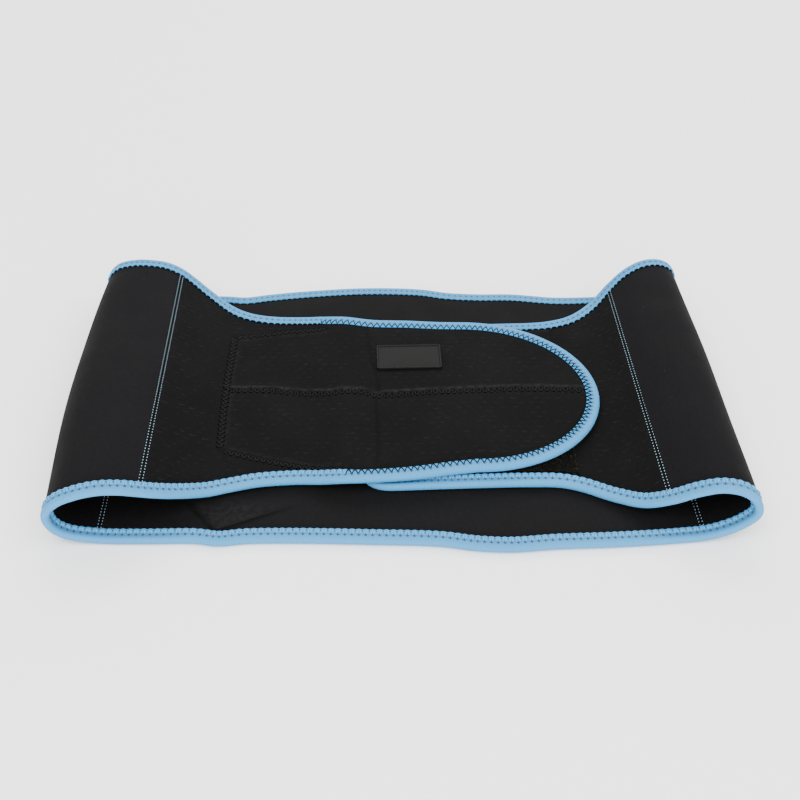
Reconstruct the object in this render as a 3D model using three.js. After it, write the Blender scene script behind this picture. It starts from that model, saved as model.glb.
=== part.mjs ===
// Lumbar support belt, closed round its own loop and laid flat on the floor.
// The belt is one long strip. It starts at the hidden end of the right front panel, runs right to
// the right fold, back along the floor, up round the left fold, and over the right front panel to
// the round tip of the flap. Left and right in the names are the viewer's, who faces the flap:
// +X is to the viewer's right, +Y away from the viewer, +Z up.
// All lengths are in millimetres.
import * as THREE from 'three';
import { mergeVertices } from 'three/addons/utils/BufferGeometryUtils.js';

// Driving dimensions of the belt
const SPAN = 400; // outside of the left fold to outside of the right fold
const SIDE_WIDTH = 232; // width of the side panels, binding included
const BACK_WIDTH = 244; // width of the back panel at its middle
const FRONT_WIDTH = 160; // width of the left front panel before the flap
const FLAP_WIDTH = 142; // width of the flap where its round tip begins
const FLAP_REACH = 126; // middle of the belt to the end of the flap's tip
const TIP_LENGTH = 81; // length of the flap's round tip
const HIDDEN_REACH = 32; // middle of the belt to the hidden end of the right front panel
const END_LENGTH = 30; // length of the rounded corners at that hidden end
const FOLD_HEIGHT = 40; // height of an edge at a fold where its entry below is 1
const LEAN = 10; // sideways shift of the laid belt where its entry below is 1
const BOW = 4; // outward bow of the side panels half way across

// Driving dimensions of the cloth and trim
const NEOPRENE = 3.5; // thickness of every panel
const TAPE = 0.75; // thickness of the elastic edge binding
const TAPE_FACE = 8.5; // how far the binding reaches in over each face
const HOOK_THICKNESS = 1; // hook patch under the flap
const LOOP_THICKNESS = 1; // loop patch on the right front panel
const PATCH_MARGIN = 1.5; // bare cloth between the binding and a patch
const HOOK_TAPER = 26; // how much further in the hook patch lies where it begins
const FIT = 0.3; // clearance between touching pieces

// Driving dimensions of the rubber badge on the flap
const BADGE_LENGTH = 42;
const BADGE_WIDTH = 24;
const BADGE_THICKNESS = 1.4;
const BADGE_RIM = 1.2; // width of its raised rim
const BADGE_RECESS = 0.5; // depth of its face below the rim
const BADGE_CORNER = 1.6;
const BADGE_FROM_TIP = 118; // centre of the badge to the end of the flap's tip
const BADGE_OFF_CENTRE = 33; // centre of the badge to the flap's middle line

// Levels of the layers' middle surfaces, stacked from the floor up
const HALF_CLOTH = NEOPRENE / 2;
const HALF_EDGE = HALF_CLOTH + FIT + TAPE; // half the thickness of a bound edge
const BACK_LEVEL = HALF_EDGE;
const RIGHT_LEVEL = BACK_LEVEL + HALF_CLOTH + FIT + HALF_EDGE;
const LEFT_LEVEL = BACK_LEVEL + NEOPRENE + HOOK_THICKNESS + 2 * FIT;
const FLAP_LEVEL = RIGHT_LEVEL + NEOPRENE + LOOP_THICKNESS + HOOK_THICKNESS + 3 * FIT;
const HALF_SPAN = SPAN / 2 - HALF_EDGE;

// Places along X as shares of the half span: where the hidden end's corners begin, where the flap
// has climbed onto it, where the flap's tip begins, and where it ends at the foot of the right fold
const END_START = (END_LENGTH - HIDDEN_REACH) / HALF_SPAN;
const FLAP_CLIMBED = -HIDDEN_REACH / HALF_SPAN - 0.01;
const TIP_START = (FLAP_REACH - TIP_LENGTH) / HALF_SPAN;
const RIGHT_FOOT = FLAP_REACH / HALF_SPAN;

const lerp = THREE.MathUtils.lerp;
const underFlap = (share) => lerp(END_START, RIGHT_FOOT, share);
const rightRamp = (share) => lerp(RIGHT_FOOT, 1, share);
const alongFlap = (share) => lerp(FLAP_CLIMBED, TIP_START, share);

// Sections along the strip, each a straight chord from the near edge to the far edge.
// at    place along X, as a share of the half span
// wide  -1 flap width, 0 front width, 1 side width, 2 back width, and shares between
// lean  shift towards the viewer, as a share of LEAN
// near, far  height of each edge over the layer's level, as a share of FOLD_HEIGHT
// bow   outward bow between the edges, as a share of BOW
const section = (layer, at, wide, lean, near, far, bow = 0) => ({ layer, at, wide, lean, near, far, bow });
const RIGHT_FRONT = [
  section(RIGHT_LEVEL, underFlap(0), -0.3, 0.8, 0, 0),
  section(RIGHT_LEVEL, underFlap(0.31), -0.3, 0.75, 0, 0),
  section(RIGHT_LEVEL, underFlap(0.6), -0.28, 0.75, 0, 0),
  section(RIGHT_LEVEL, underFlap(0.74), -0.2, 0.8, 0, 0),
  section(RIGHT_LEVEL, underFlap(0.83), 0.02, 0.93, 0, 0),
  section(RIGHT_LEVEL, underFlap(0.96), 0.22, 1.15, 0.02, 0.02),
  section(RIGHT_LEVEL, rightRamp(0.14), 0.47, 1.15, 0.12, 0.12),
];
const RIGHT_SIDE = [
  section(RIGHT_LEVEL, rightRamp(0.335), 0.7, 0.85, 0.32, 0.32, 0.1),
  section(RIGHT_LEVEL, rightRamp(0.52), 0.83, 0.72, 0.55, 0.55, 0.2),
  section(RIGHT_LEVEL, rightRamp(0.68), 0.9, 0.7, 0.67, 0.655, 0.3),
  section(RIGHT_LEVEL, rightRamp(0.835), 0.95, 0.72, 0.65, 0.635, 0.3),
  section(RIGHT_LEVEL, rightRamp(0.94), 0.98, 0.76, 0.52, 0.51, 0.3),
  section(BACK_LEVEL, rightRamp(0.975), 1, 0.84, 0.43, 0.41, 0.3),
  section(BACK_LEVEL, rightRamp(0.88), 1, 0.88, 0.22, 0.2, 0.2),
  section(BACK_LEVEL, rightRamp(0.72), 1, 0.92, 0.07, 0.06),
];
const BACK = [
  section(BACK_LEVEL, rightRamp(0.59), 1.02, 0.96, 0.015, 0.012),
  section(BACK_LEVEL, rightRamp(0.42), 1.06, 1.02, 0.003, 0.003),
  section(BACK_LEVEL, 0.69, 1.12, 1.1, 0, 0),
  section(BACK_LEVEL, 0.58, 1.22, 1.12, 0, 0),
  section(BACK_LEVEL, 0.43, 1.65, 0.9, 0, 0),
  section(BACK_LEVEL, 0.3, 1.85, 0.92, 0, 0),
  section(BACK_LEVEL, 0.2, 1.9, 0.72, 0, 0),
  section(BACK_LEVEL, 0.1, 2, 0.28, 0, 0),
  section(BACK_LEVEL, -0.1, 2, 0, 0, 0),
  section(BACK_LEVEL, -0.3, 1.63, 0, 0, 0),
  section(BACK_LEVEL, -0.45, 1.28, 0.15, 0, 0),
  section(BACK_LEVEL, -0.53, 1.16, 0.35, 0, 0),
  section(BACK_LEVEL, -0.6, 1.1, 0.15, 0, 0),
  section(BACK_LEVEL, -0.72, 1.08, 0.1, 0, 0),
  section(BACK_LEVEL, -0.82, 1.06, 0.05, 0.002, 0.002),
];
const LEFT_SIDE = [
  section(BACK_LEVEL, -0.872, 1.04, 0, 0.008, 0.008),
  section(BACK_LEVEL, -0.958, 1, 0, 0.11, 0.11, 0.3),
  section(BACK_LEVEL, -0.993, 1, 0, 0.28, 0.28, 0.8),
  section(BACK_LEVEL, -0.998, 1, 0, 0.52, 0.52, 1),
  section(LEFT_LEVEL, -0.963, 1, 0, 0.6, 0.6, 0.8),
  section(LEFT_LEVEL, -0.903, 0.97, 0, 0.715, 0.69, 0.5),
  section(LEFT_LEVEL, -0.845, 0.92, 0, 0.74, 0.71, 0.3),
  section(LEFT_LEVEL, -0.79, 0.87, 0, 0.695, 0.68, 0.2),
];
const LEFT_FRONT = [
  section(LEFT_LEVEL, -0.742, 0.8, 0, 0.59, 0.59, 0.1),
  section(LEFT_LEVEL, -0.7, 0.7, 0, 0.46, 0.46),
  section(LEFT_LEVEL, -0.65, 0.55, 0, 0.3, 0.3),
  section(LEFT_LEVEL, -0.57, 0.31, 0, 0.1, 0.1),
  section(LEFT_LEVEL, -0.505, 0.15, 0, 0.04, 0.04),
  section(LEFT_LEVEL, -0.426, 0.04, -0.05, 0.018, 0.018),
  section(LEFT_LEVEL, FLAP_CLIMBED - 0.142, 0, -0.05, 0.018, 0.018),
  section(LEFT_LEVEL, FLAP_CLIMBED - 0.073, 0, 0.2, 0.07, 0.07),
  section(FLAP_LEVEL, alongFlap(0), -0.12, 0.6, 0, 0),
  section(FLAP_LEVEL, alongFlap(0.24), -0.37, 0.8, 0, 0),
  section(FLAP_LEVEL, alongFlap(0.53), -0.55, 0.8, 0, 0),
  section(FLAP_LEVEL, alongFlap(0.8), -0.85, 0.75, 0, 0),
  section(FLAP_LEVEL, alongFlap(1), -1, 0.7, 0, 0),
];
const SECTIONS = [...RIGHT_FRONT, ...RIGHT_SIDE, ...BACK, ...LEFT_SIDE, ...LEFT_FRONT];

// Places of the seams, counted in sections
const LAST = SECTIONS.length - 1;
const RIGHT_TOP_SEAM = RIGHT_FRONT.length;
const RIGHT_LOW_SEAM = RIGHT_TOP_SEAM + RIGHT_SIDE.length;
const LEFT_LOW_SEAM = RIGHT_LOW_SEAM + BACK.length;
const LEFT_TOP_SEAM = LEFT_LOW_SEAM + LEFT_SIDE.length;

// The hook patch runs from its first section to the flap's tip, and is as wide as the flap once
// it is clear of its taper. The loop patch runs from the hidden end's corners to its last section
const HOOK_FIRST = LEFT_TOP_SEAM + 3;
const HOOK_FULL_WIDTH = HOOK_FIRST + 4;
const LOOP_LAST = 4;

// How each round end of the strip is drawn: its length, how square it is (2 is an ellipse), its
// number of stations, and how far it leans further towards the viewer
const FLAP_TIP = { length: TIP_LENGTH, square: 2, steps: 14, drift: 0.3 };
const HIDDEN_END = { length: END_LENGTH, square: 3.2, steps: 10, drift: 0 };

// Fineness of the meshes
const STEPS_PER_SECTION = 2;
const PANEL_LINES = 6; // strips of quads across a panel between its two bands
const PATCH_LINES = 4;

function halfWidth(wide) {
  const front = FRONT_WIDTH / 2;
  const side = SIDE_WIDTH / 2;
  if (wide < 0) return lerp(front, FLAP_WIDTH / 2, -wide);
  if (wide <= 1) return lerp(front, side, wide);
  return lerp(side, BACK_WIDTH / 2, wide - 1);
}

function edgePoint({ layer, at, wide, lean, near, far }, side) {
  const y = side * halfWidth(wide) - lean * LEAN;
  const share = side < 0 ? near : far;
  return new THREE.Vector3(at * HALF_SPAN, y, layer + share * FOLD_HEIGHT);
}

// The two edges of the strip are smooth curves through the sections' end points
const nearEdge = new THREE.CatmullRomCurve3(SECTIONS.map((row) => edgePoint(row, -1)));
const farEdge = new THREE.CatmullRomCurve3(SECTIONS.map((row) => edgePoint(row, 1)));

// One edge of one station: the outline's point, the way in by the binding's reach, and the
// outward normal of the cloth there. inwards is 1 on the near edge and -1 on the far edge
function chordEdge(outline, along, chord, inwards) {
  const across = new THREE.Vector3().crossVectors(along, chord);
  const inward = chord.clone().multiplyScalar((inwards * TAPE_FACE) / across.length());
  return { outline, inward, normal: across.normalize() };
}

// Station of the strip at a place counted in sections from the first one
function stationAt(place) {
  const share = place / LAST;
  const near = nearEdge.getPoint(share);
  const far = farEdge.getPoint(share);
  const chord = far.clone().sub(near).normalize();
  const before = Math.min(Math.floor(place), LAST - 1);
  const bow = BOW * lerp(SECTIONS[before].bow, SECTIONS[before + 1].bow, place - before);
  return {
    near: chordEdge(near, nearEdge.getTangent(share), chord, 1),
    far: chordEdge(far, farEdge.getTangent(share), chord, -1),
    bow,
    place,
  };
}

// Station of a round end: the same shape as a superellipse, flat at the level of its section.
// turn runs from 0 where the end begins to a quarter turn at its outermost point
function endStation(row, end, direction, turn) {
  const power = 2 / end.square;
  const half = halfWidth(row.wide);
  const reach = Math.sin(turn) ** power;
  const open = Math.max(Math.cos(turn), 1e-9) ** power;
  const centre = new THREE.Vector3(
    row.at * HALF_SPAN + direction * end.length * reach,
    -(row.lean + end.drift * reach) * LEAN,
    row.layer,
  );
  const last = turn > Math.PI / 2 - 1e-6;
  const sides = [-1, 1].map((side) => {
    // The outline's normal is the superellipse's gradient
    const slopeX = last ? direction : direction * (reach ** (end.square - 1)) / end.length;
    const slopeY = last ? 0 : side * (open ** (end.square - 1)) / half;
    const inward = new THREE.Vector3(-slopeX, -slopeY, 0).setLength(TAPE_FACE);
    const outline = centre.clone().add(new THREE.Vector3(0, last ? 0 : side * half * open, 0));
    return { outline, inward, normal: new THREE.Vector3(0, 0, 1) };
  });
  return { near: sides[0], far: sides[1], bow: 0, place: direction * Infinity };
}

function endStations(row, end, direction) {
  const turns = [...Array(end.steps).keys()].map((step) => ((step + 1) / end.steps) * (Math.PI / 2));
  return turns.map((turn) => endStation(row, end, direction, turn));
}

// Point of a bound edge: depth in from the outline, height out from the middle surface
function bandPoint(edge, depth, height) {
  return edge.outline.clone()
    .addScaledVector(edge.inward, depth / TAPE_FACE)
    .addScaledVector(edge.normal, height);
}

// Point of the cloth between two depths, share running from the near side to the far side
function clothPoint(station, depth, share, height) {
  const near = bandPoint(station.near, depth, height);
  const far = bandPoint(station.far, depth, height);
  const normal = station.near.normal.clone().lerp(station.far.normal, share).normalize();
  return near.lerp(far, share).addScaledVector(normal, station.bow * Math.sin(Math.PI * share));
}

// Stations of a stretch of the strip from one section to another
function stretch(first, last) {
  const count = (last - first) * STEPS_PER_SECTION;
  return [...Array(count + 1).keys()].map((step) => stationAt(first + step / STEPS_PER_SECTION));
}

// A stretch whose two cut ends stand back from the seams by half the clearance
function cutStretch(first, last, backFirst, backLast) {
  const stations = stretch(first, last);
  if (backFirst) stations[0] = stationAt(first + seamShift(first, first + 1));
  if (backLast) stations[stations.length - 1] = stationAt(last - seamShift(last - 1, last));
  return stations;
}

// Half the clearance, counted in sections between two neighbouring ones
function seamShift(before, after) {
  const length = edgePoint(SECTIONS[before], 1).distanceTo(edgePoint(SECTIONS[after], 1));
  return FIT / 2 / length;
}

// Closed mesh from triangles of points: merges the corners and drops triangles without area
function closedGeometry(triangles) {
  const positions = triangles.flat().flatMap((point) => point.toArray());
  const loose = new THREE.BufferGeometry();
  loose.setAttribute('position', new THREE.Float32BufferAttribute(positions, 3));
  const merged = mergeVertices(loose, 1e-3);
  const index = [...merged.index.array];
  const kept = [];
  for (let i = 0; i < index.length; i += 3) {
    const [a, b, c] = index.slice(i, i + 3);
    if (a !== b && b !== c && c !== a) kept.push(a, b, c);
  }
  merged.setIndex(kept);
  return merged;
}

const quad = (a, b, c, d) => [[a, b, c], [a, c, d]];

// Sheet of even thickness on a grid of stations and lines, with its four edge walls.
// roundStart and roundEnd say where the strip closes to one point, so that no wall is needed
function sheetGeometry(grid, { roundStart = false, roundEnd = false } = {}) {
  const triangles = [];
  const rows = grid.length - 1;
  const lines = grid[0].length - 1;
  for (let i = 0; i < rows; i += 1) {
    const [here, next] = [grid[i], grid[i + 1]];
    for (let j = 0; j < lines; j += 1) {
      triangles.push(...quad(here[j].outer, next[j].outer, next[j + 1].outer, here[j + 1].outer));
      triangles.push(...quad(here[j].inner, here[j + 1].inner, next[j + 1].inner, next[j].inner));
    }
    const [hereFar, nextFar] = [here[lines], next[lines]];
    triangles.push(...quad(here[0].inner, next[0].inner, next[0].outer, here[0].outer));
    triangles.push(...quad(nextFar.inner, hereFar.inner, hereFar.outer, nextFar.outer));
  }
  for (let j = 0; j < lines; j += 1) {
    const [start, end] = [grid[0], grid[rows]];
    const first = quad(start[j + 1].inner, start[j].inner, start[j].outer, start[j + 1].outer);
    const last = quad(end[j].inner, end[j + 1].inner, end[j + 1].outer, end[j].outer);
    if (!roundStart) triangles.push(...first);
    if (!roundEnd) triangles.push(...last);
  }
  return closedGeometry(triangles);
}

// Panel of neoprene: a band under the binding along each edge, and the open cloth between them
function panelGeometry(stations, ends) {
  const skin = (make) => ({ outer: make(HALF_CLOTH), inner: make(-HALF_CLOTH) });
  const grid = stations.map((station) => {
    const edge = (side) => skin((height) => bandPoint(station[side], TAPE + FIT, height));
    const shares = [...Array(PANEL_LINES + 1).keys()].map((line) => line / PANEL_LINES);
    const cloth = shares.map((share) => skin((height) => clothPoint(station, TAPE_FACE, share, height)));
    return [edge('near'), ...cloth, edge('far')];
  });
  return sheetGeometry(grid, ends);
}

// Patch of hook or loop fabric, lying off the cloth by the clearance. face is 1 on the outer face
// and -1 on the inner one, and taper says how much further in than the margin each station lies
function patchGeometry(stations, face, thickness, taper, ends) {
  const inside = face * (HALF_CLOTH + FIT);
  const [low, high] = [inside, inside + face * thickness].sort((a, b) => a - b);
  const grid = stations.map((station) => {
    const depth = TAPE_FACE + PATCH_MARGIN + taper(station.place);
    const shares = [...Array(PATCH_LINES + 1).keys()].map((line) => line / PATCH_LINES);
    return shares.map((share) => ({
      inner: clothPoint(station, depth, share, low),
      outer: clothPoint(station, depth, share, high),
    }));
  });
  return sheetGeometry(grid, ends);
}

// Taper of the hook patch: a curve from its full amount at the first section down to none
function hookTaper(place) {
  const left = (HOOK_FULL_WIDTH - place) / (HOOK_FULL_WIDTH - HOOK_FIRST);
  return HOOK_TAPER * Math.max(left, 0) ** 1.5;
}

// Section of the folded binding: a U that opens inwards, as depth and height, listed round
function bindingSection() {
  const slot = HALF_CLOTH + FIT;
  const round = HALF_EDGE / 2;
  return [
    [TAPE_FACE, HALF_EDGE], [TAPE, HALF_EDGE], [0, round], [0, -round], [TAPE, -HALF_EDGE],
    [TAPE_FACE, -HALF_EDGE], [TAPE_FACE, -slot], [TAPE, -slot], [TAPE, slot], [TAPE_FACE, slot],
  ];
}

// The binding runs once round the whole strip: out along the near edge, back along the far edge
function bindingGeometry(stations) {
  const out = stations.map((station) => station.near);
  const back = stations.slice(1, -1).reverse().map((station) => station.far);
  const rings = [...out, ...back].map((edge) => bindingSection()
    .map(([depth, height]) => bandPoint(edge, depth, height)));
  const triangles = rings.flatMap((ring, i) => {
    const next = rings[(i + 1) % rings.length];
    return ring.flatMap((point, j) => {
      const k = (j + 1) % ring.length;
      return quad(point, ring[k], next[k], next[j]);
    });
  });
  return closedGeometry(triangles);
}

function roundedRectangle(length, width, corner) {
  const [x, y] = [length / 2, width / 2];
  const shape = new THREE.Shape();
  shape.moveTo(corner - x, -y);
  shape.lineTo(x - corner, -y);
  shape.absarc(x - corner, corner - y, corner, -Math.PI / 2, 0);
  shape.lineTo(x, y - corner);
  shape.absarc(x - corner, y - corner, corner, 0, Math.PI / 2);
  shape.lineTo(corner - x, y);
  shape.absarc(corner - x, y - corner, corner, Math.PI / 2, Math.PI);
  shape.lineTo(-x, corner - y);
  shape.absarc(corner - x, corner - y, corner, Math.PI, Math.PI * 1.5);
  return shape;
}

// Bare badge: a tray turned up, its flat face sunk below a raised rim. Made as one closed sheet
// from the rim's outlines, each ring a list of points at its height
function badgeGeometry() {
  const inset = BADGE_RIM;
  const outline = roundedRectangle(BADGE_LENGTH, BADGE_WIDTH, BADGE_CORNER).getPoints(4);
  const shrink = ([x, y]) => [
    x * (1 - (2 * inset) / BADGE_LENGTH),
    y * (1 - (2 * inset) / BADGE_WIDTH),
  ];
  const corners = outline.slice(0, -1).map((point) => [point.x, point.y]);
  const ring = (points, z) => points.map(([x, y]) => new THREE.Vector3(x, y, z));
  const inner = corners.map(shrink);
  const rings = [
    ring(corners, 0),
    ring(corners, BADGE_THICKNESS),
    ring(inner, BADGE_THICKNESS),
    ring(inner, BADGE_THICKNESS - BADGE_RECESS),
  ];
  const triangles = [];
  for (let i = 0; i < rings.length - 1; i += 1) {
    corners.forEach((corner, j) => {
      const k = (j + 1) % corners.length;
      triangles.push(...quad(rings[i][j], rings[i][k], rings[i + 1][k], rings[i + 1][j]));
    });
  }
  const centre = new THREE.Vector3(0, 0, 0);
  const face = new THREE.Vector3(0, 0, BADGE_THICKNESS - BADGE_RECESS);
  corners.forEach((corner, j) => {
    const k = (j + 1) % corners.length;
    triangles.push([centre, rings[0][k], rings[0][j]]);
    triangles.push([face, rings[3][j], rings[3][k]]);
  });
  return closedGeometry(triangles);
}

const SIDE_CLOTH = { color: 0x29282b, roughness: 0.9, metalness: 0 };
const FRONT_CLOTH = { color: 0x222124, roughness: 0.92, metalness: 0 };
const BACK_CLOTH = { color: 0x252525, roughness: 0.9, metalness: 0 };
const BLUE_TAPE = { color: 0x8fb9d4, roughness: 0.75, metalness: 0 };
const FASTENER = { color: 0x1b1b1a, roughness: 0.95, metalness: 0 };
const RUBBER = { color: 0x3b3b39, roughness: 0.6, metalness: 0 };

const group = new THREE.Group();

function add(name, geometry, look) {
  geometry.computeVertexNormals();
  const mesh = new THREE.Mesh(geometry, new THREE.MeshStandardMaterial(look));
  mesh.name = name;
  group.add(mesh);
  return mesh;
}

const tip = endStations(SECTIONS[LAST], FLAP_TIP, 1);
const hidden = endStations(SECTIONS[0], HIDDEN_END, -1).reverse();
const rightFront = [...hidden, ...cutStretch(0, RIGHT_TOP_SEAM, false, true)];
const rightSide = cutStretch(RIGHT_TOP_SEAM, RIGHT_LOW_SEAM, true, true);
const back = cutStretch(RIGHT_LOW_SEAM, LEFT_LOW_SEAM, true, true);
const leftSide = cutStretch(LEFT_LOW_SEAM, LEFT_TOP_SEAM, true, true);
const leftFront = [...cutStretch(LEFT_TOP_SEAM, LAST, true, false), ...tip];
const hook = [...stretch(HOOK_FIRST, LAST), ...tip];
const loop = stretch(0, LOOP_LAST);

add('right_front_panel', panelGeometry(rightFront, { roundStart: true }), FRONT_CLOTH);
add('right_side_panel', panelGeometry(rightSide), SIDE_CLOTH);
add('back_panel', panelGeometry(back), BACK_CLOTH);
add('left_side_panel', panelGeometry(leftSide), SIDE_CLOTH);
add('left_front_panel', panelGeometry(leftFront, { roundEnd: true }), FRONT_CLOTH);
add('edge_binding', bindingGeometry([...hidden, ...stretch(0, LAST), ...tip]), BLUE_TAPE);
add('hook_patch', patchGeometry(hook, -1, HOOK_THICKNESS, hookTaper, { roundEnd: true }), FASTENER);
add('loop_patch', patchGeometry(loop, 1, LOOP_THICKNESS, () => 0), FASTENER);

const badge = add('badge', badgeGeometry(), RUBBER);
badge.position.set(
  FLAP_REACH - BADGE_FROM_TIP,
  BADGE_OFF_CENTRE - SECTIONS[LAST].lean * LEAN,
  FLAP_LEVEL + HALF_CLOTH + FIT,
);

// The origin is under the middle of the whole belt, on the floor
const bounds = new THREE.Box3().setFromObject(group);
const middle = bounds.getCenter(new THREE.Vector3());
group.position.set(-middle.x, -middle.y, -bounds.min.z);

export default group;
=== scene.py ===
"""Visible surfaces of a neoprene lumbar support belt that lies closed on the floor as a low loop.

The belt is one long strip. It runs from its hidden right front end over the right fold, back along
the floor, up round the left fold and over the front to the round tip of its flap. Lengths are in
metres, +X is to the viewer's right, +Y away from the viewer and +Z up.
"""
from dataclasses import dataclass, fields

import bmesh
import bpy
import numpy as np
from bpy.props import FloatProperty, FloatVectorProperty, PointerProperty
from bpy.types import Operator, Panel, PropertyGroup
from mathutils import Euler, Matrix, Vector


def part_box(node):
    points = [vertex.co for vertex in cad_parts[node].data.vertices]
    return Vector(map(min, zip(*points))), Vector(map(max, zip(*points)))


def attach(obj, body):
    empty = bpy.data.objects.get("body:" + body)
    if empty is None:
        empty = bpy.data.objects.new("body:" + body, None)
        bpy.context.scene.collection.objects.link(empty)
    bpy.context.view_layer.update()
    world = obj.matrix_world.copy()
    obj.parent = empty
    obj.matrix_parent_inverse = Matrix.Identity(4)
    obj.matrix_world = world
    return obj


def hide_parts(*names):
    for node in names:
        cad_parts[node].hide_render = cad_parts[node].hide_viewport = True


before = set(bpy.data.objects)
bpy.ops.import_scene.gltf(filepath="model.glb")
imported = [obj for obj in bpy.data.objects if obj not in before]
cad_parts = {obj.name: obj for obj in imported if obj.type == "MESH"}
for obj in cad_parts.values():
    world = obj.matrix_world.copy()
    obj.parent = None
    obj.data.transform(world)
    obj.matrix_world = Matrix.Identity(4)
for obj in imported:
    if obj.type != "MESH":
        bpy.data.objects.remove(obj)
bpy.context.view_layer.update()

bl_info = {
    "name": "Lumbar Support Belt",
    "version": (1, 0, 0),
    "blender": (4, 5, 0),
    "location": "3D View > Sidebar > Belt",
    "description": "Makes the cloth, tape, stitching and badge of a lumbar support belt",
    "category": "Add Mesh",
}

MM = 0.001

# Driving dimensions of the belt, the same as those of its solids
SPAN = 400 * MM
SIDE_WIDTH = 232 * MM
BACK_WIDTH = 244 * MM
FRONT_WIDTH = 160 * MM
FLAP_WIDTH = 142 * MM
FLAP_REACH = 126 * MM
TIP_LENGTH = 81 * MM
HIDDEN_REACH = 32 * MM
END_LENGTH = 30 * MM
FOLD_HEIGHT = 40 * MM
LEAN = 10 * MM
BOW = 4 * MM

# Driving dimensions of the cloth, trim and badge, the same as those of the solids
NEOPRENE = 3.5 * MM
TAPE = 0.75 * MM
TAPE_FACE = 8.5 * MM
HOOK_THICKNESS = 1 * MM
LOOP_THICKNESS = 1 * MM
PATCH_MARGIN = 1.5 * MM
HOOK_TAPER = 26 * MM
FIT = 0.3 * MM
BADGE_LENGTH = 42 * MM
BADGE_WIDTH = 24 * MM
BADGE_THICKNESS = 1.4 * MM
BADGE_RIM = 1.2 * MM
BADGE_RECESS = 0.5 * MM
BADGE_CORNER = 1.6 * MM
BADGE_FROM_TIP = 118 * MM
BADGE_OFF_CENTRE = 33 * MM

# Levels of the layers' middle surfaces, stacked from the floor up
HALF_CLOTH = NEOPRENE / 2
HALF_EDGE = HALF_CLOTH + FIT + TAPE
BACK_LEVEL = HALF_EDGE
RIGHT_LEVEL = BACK_LEVEL + HALF_CLOTH + FIT + HALF_EDGE
LEFT_LEVEL = BACK_LEVEL + NEOPRENE + HOOK_THICKNESS + 2 * FIT
FLAP_LEVEL = RIGHT_LEVEL + NEOPRENE + LOOP_THICKNESS + HOOK_THICKNESS + 3 * FIT
HALF_SPAN = SPAN / 2 - HALF_EDGE

# Places along X as shares of the half span
END_START = (END_LENGTH - HIDDEN_REACH) / HALF_SPAN
FLAP_CLIMBED = -HIDDEN_REACH / HALF_SPAN - 0.01
TIP_START = (FLAP_REACH - TIP_LENGTH) / HALF_SPAN
RIGHT_FOOT = FLAP_REACH / HALF_SPAN


def lerp(a, b, share):
    """The value a share of the way from a to b, in a straight line."""
    return a + (b - a) * share


def under_flap(share):
    """Place along X under the flap, from the hidden end's start to the right front's foot."""
    return lerp(END_START, RIGHT_FOOT, share)


def right_ramp(share):
    """Place along X from the foot of the right slope to the right fold's outermost point."""
    return lerp(RIGHT_FOOT, 1, share)


def along_flap(share):
    """Place along X from where the flap has climbed over the hidden end to where its tip starts."""
    return lerp(FLAP_CLIMBED, TIP_START, share)


def section(layer, at, wide, lean, near, far, bow=0):
    """One cross section of the strip: its layer's level, its place as a share of the half span,
    its width (-1 flap, 0 front, 1 side, 2 back), its lean, its edges' heights and its bow."""
    return layer, at, wide, lean, near, far, bow


RIGHT_FRONT = [
    section(RIGHT_LEVEL, under_flap(0), -0.3, 0.8, 0, 0),
    section(RIGHT_LEVEL, under_flap(0.31), -0.3, 0.75, 0, 0),
    section(RIGHT_LEVEL, under_flap(0.6), -0.28, 0.75, 0, 0),
    section(RIGHT_LEVEL, under_flap(0.74), -0.2, 0.8, 0, 0),
    section(RIGHT_LEVEL, under_flap(0.83), 0.02, 0.93, 0, 0),
    section(RIGHT_LEVEL, under_flap(0.96), 0.22, 1.15, 0.02, 0.02),
    section(RIGHT_LEVEL, right_ramp(0.14), 0.47, 1.15, 0.12, 0.12),
]
RIGHT_SIDE = [
    section(RIGHT_LEVEL, right_ramp(0.335), 0.7, 0.85, 0.32, 0.32, 0.1),
    section(RIGHT_LEVEL, right_ramp(0.52), 0.83, 0.72, 0.55, 0.55, 0.2),
    section(RIGHT_LEVEL, right_ramp(0.68), 0.9, 0.7, 0.67, 0.655, 0.3),
    section(RIGHT_LEVEL, right_ramp(0.835), 0.95, 0.72, 0.65, 0.635, 0.3),
    section(RIGHT_LEVEL, right_ramp(0.94), 0.98, 0.76, 0.52, 0.51, 0.3),
    section(BACK_LEVEL, right_ramp(0.975), 1, 0.84, 0.43, 0.41, 0.3),
    section(BACK_LEVEL, right_ramp(0.88), 1, 0.88, 0.22, 0.2, 0.2),
    section(BACK_LEVEL, right_ramp(0.72), 1, 0.92, 0.07, 0.06),
]
BACK = [
    section(BACK_LEVEL, right_ramp(0.59), 1.02, 0.96, 0.015, 0.012),
    section(BACK_LEVEL, right_ramp(0.42), 1.06, 1.02, 0.003, 0.003),
    section(BACK_LEVEL, 0.69, 1.12, 1.1, 0, 0),
    section(BACK_LEVEL, 0.58, 1.22, 1.12, 0, 0),
    section(BACK_LEVEL, 0.43, 1.65, 0.9, 0, 0),
    section(BACK_LEVEL, 0.3, 1.85, 0.92, 0, 0),
    section(BACK_LEVEL, 0.2, 1.9, 0.72, 0, 0),
    section(BACK_LEVEL, 0.1, 2, 0.28, 0, 0),
    section(BACK_LEVEL, -0.1, 2, 0, 0, 0),
    section(BACK_LEVEL, -0.3, 1.63, 0, 0, 0),
    section(BACK_LEVEL, -0.45, 1.28, 0.15, 0, 0),
    section(BACK_LEVEL, -0.53, 1.16, 0.35, 0, 0),
    section(BACK_LEVEL, -0.6, 1.1, 0.15, 0, 0),
    section(BACK_LEVEL, -0.72, 1.08, 0.1, 0, 0),
    section(BACK_LEVEL, -0.82, 1.06, 0.05, 0.002, 0.002),
]
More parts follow.
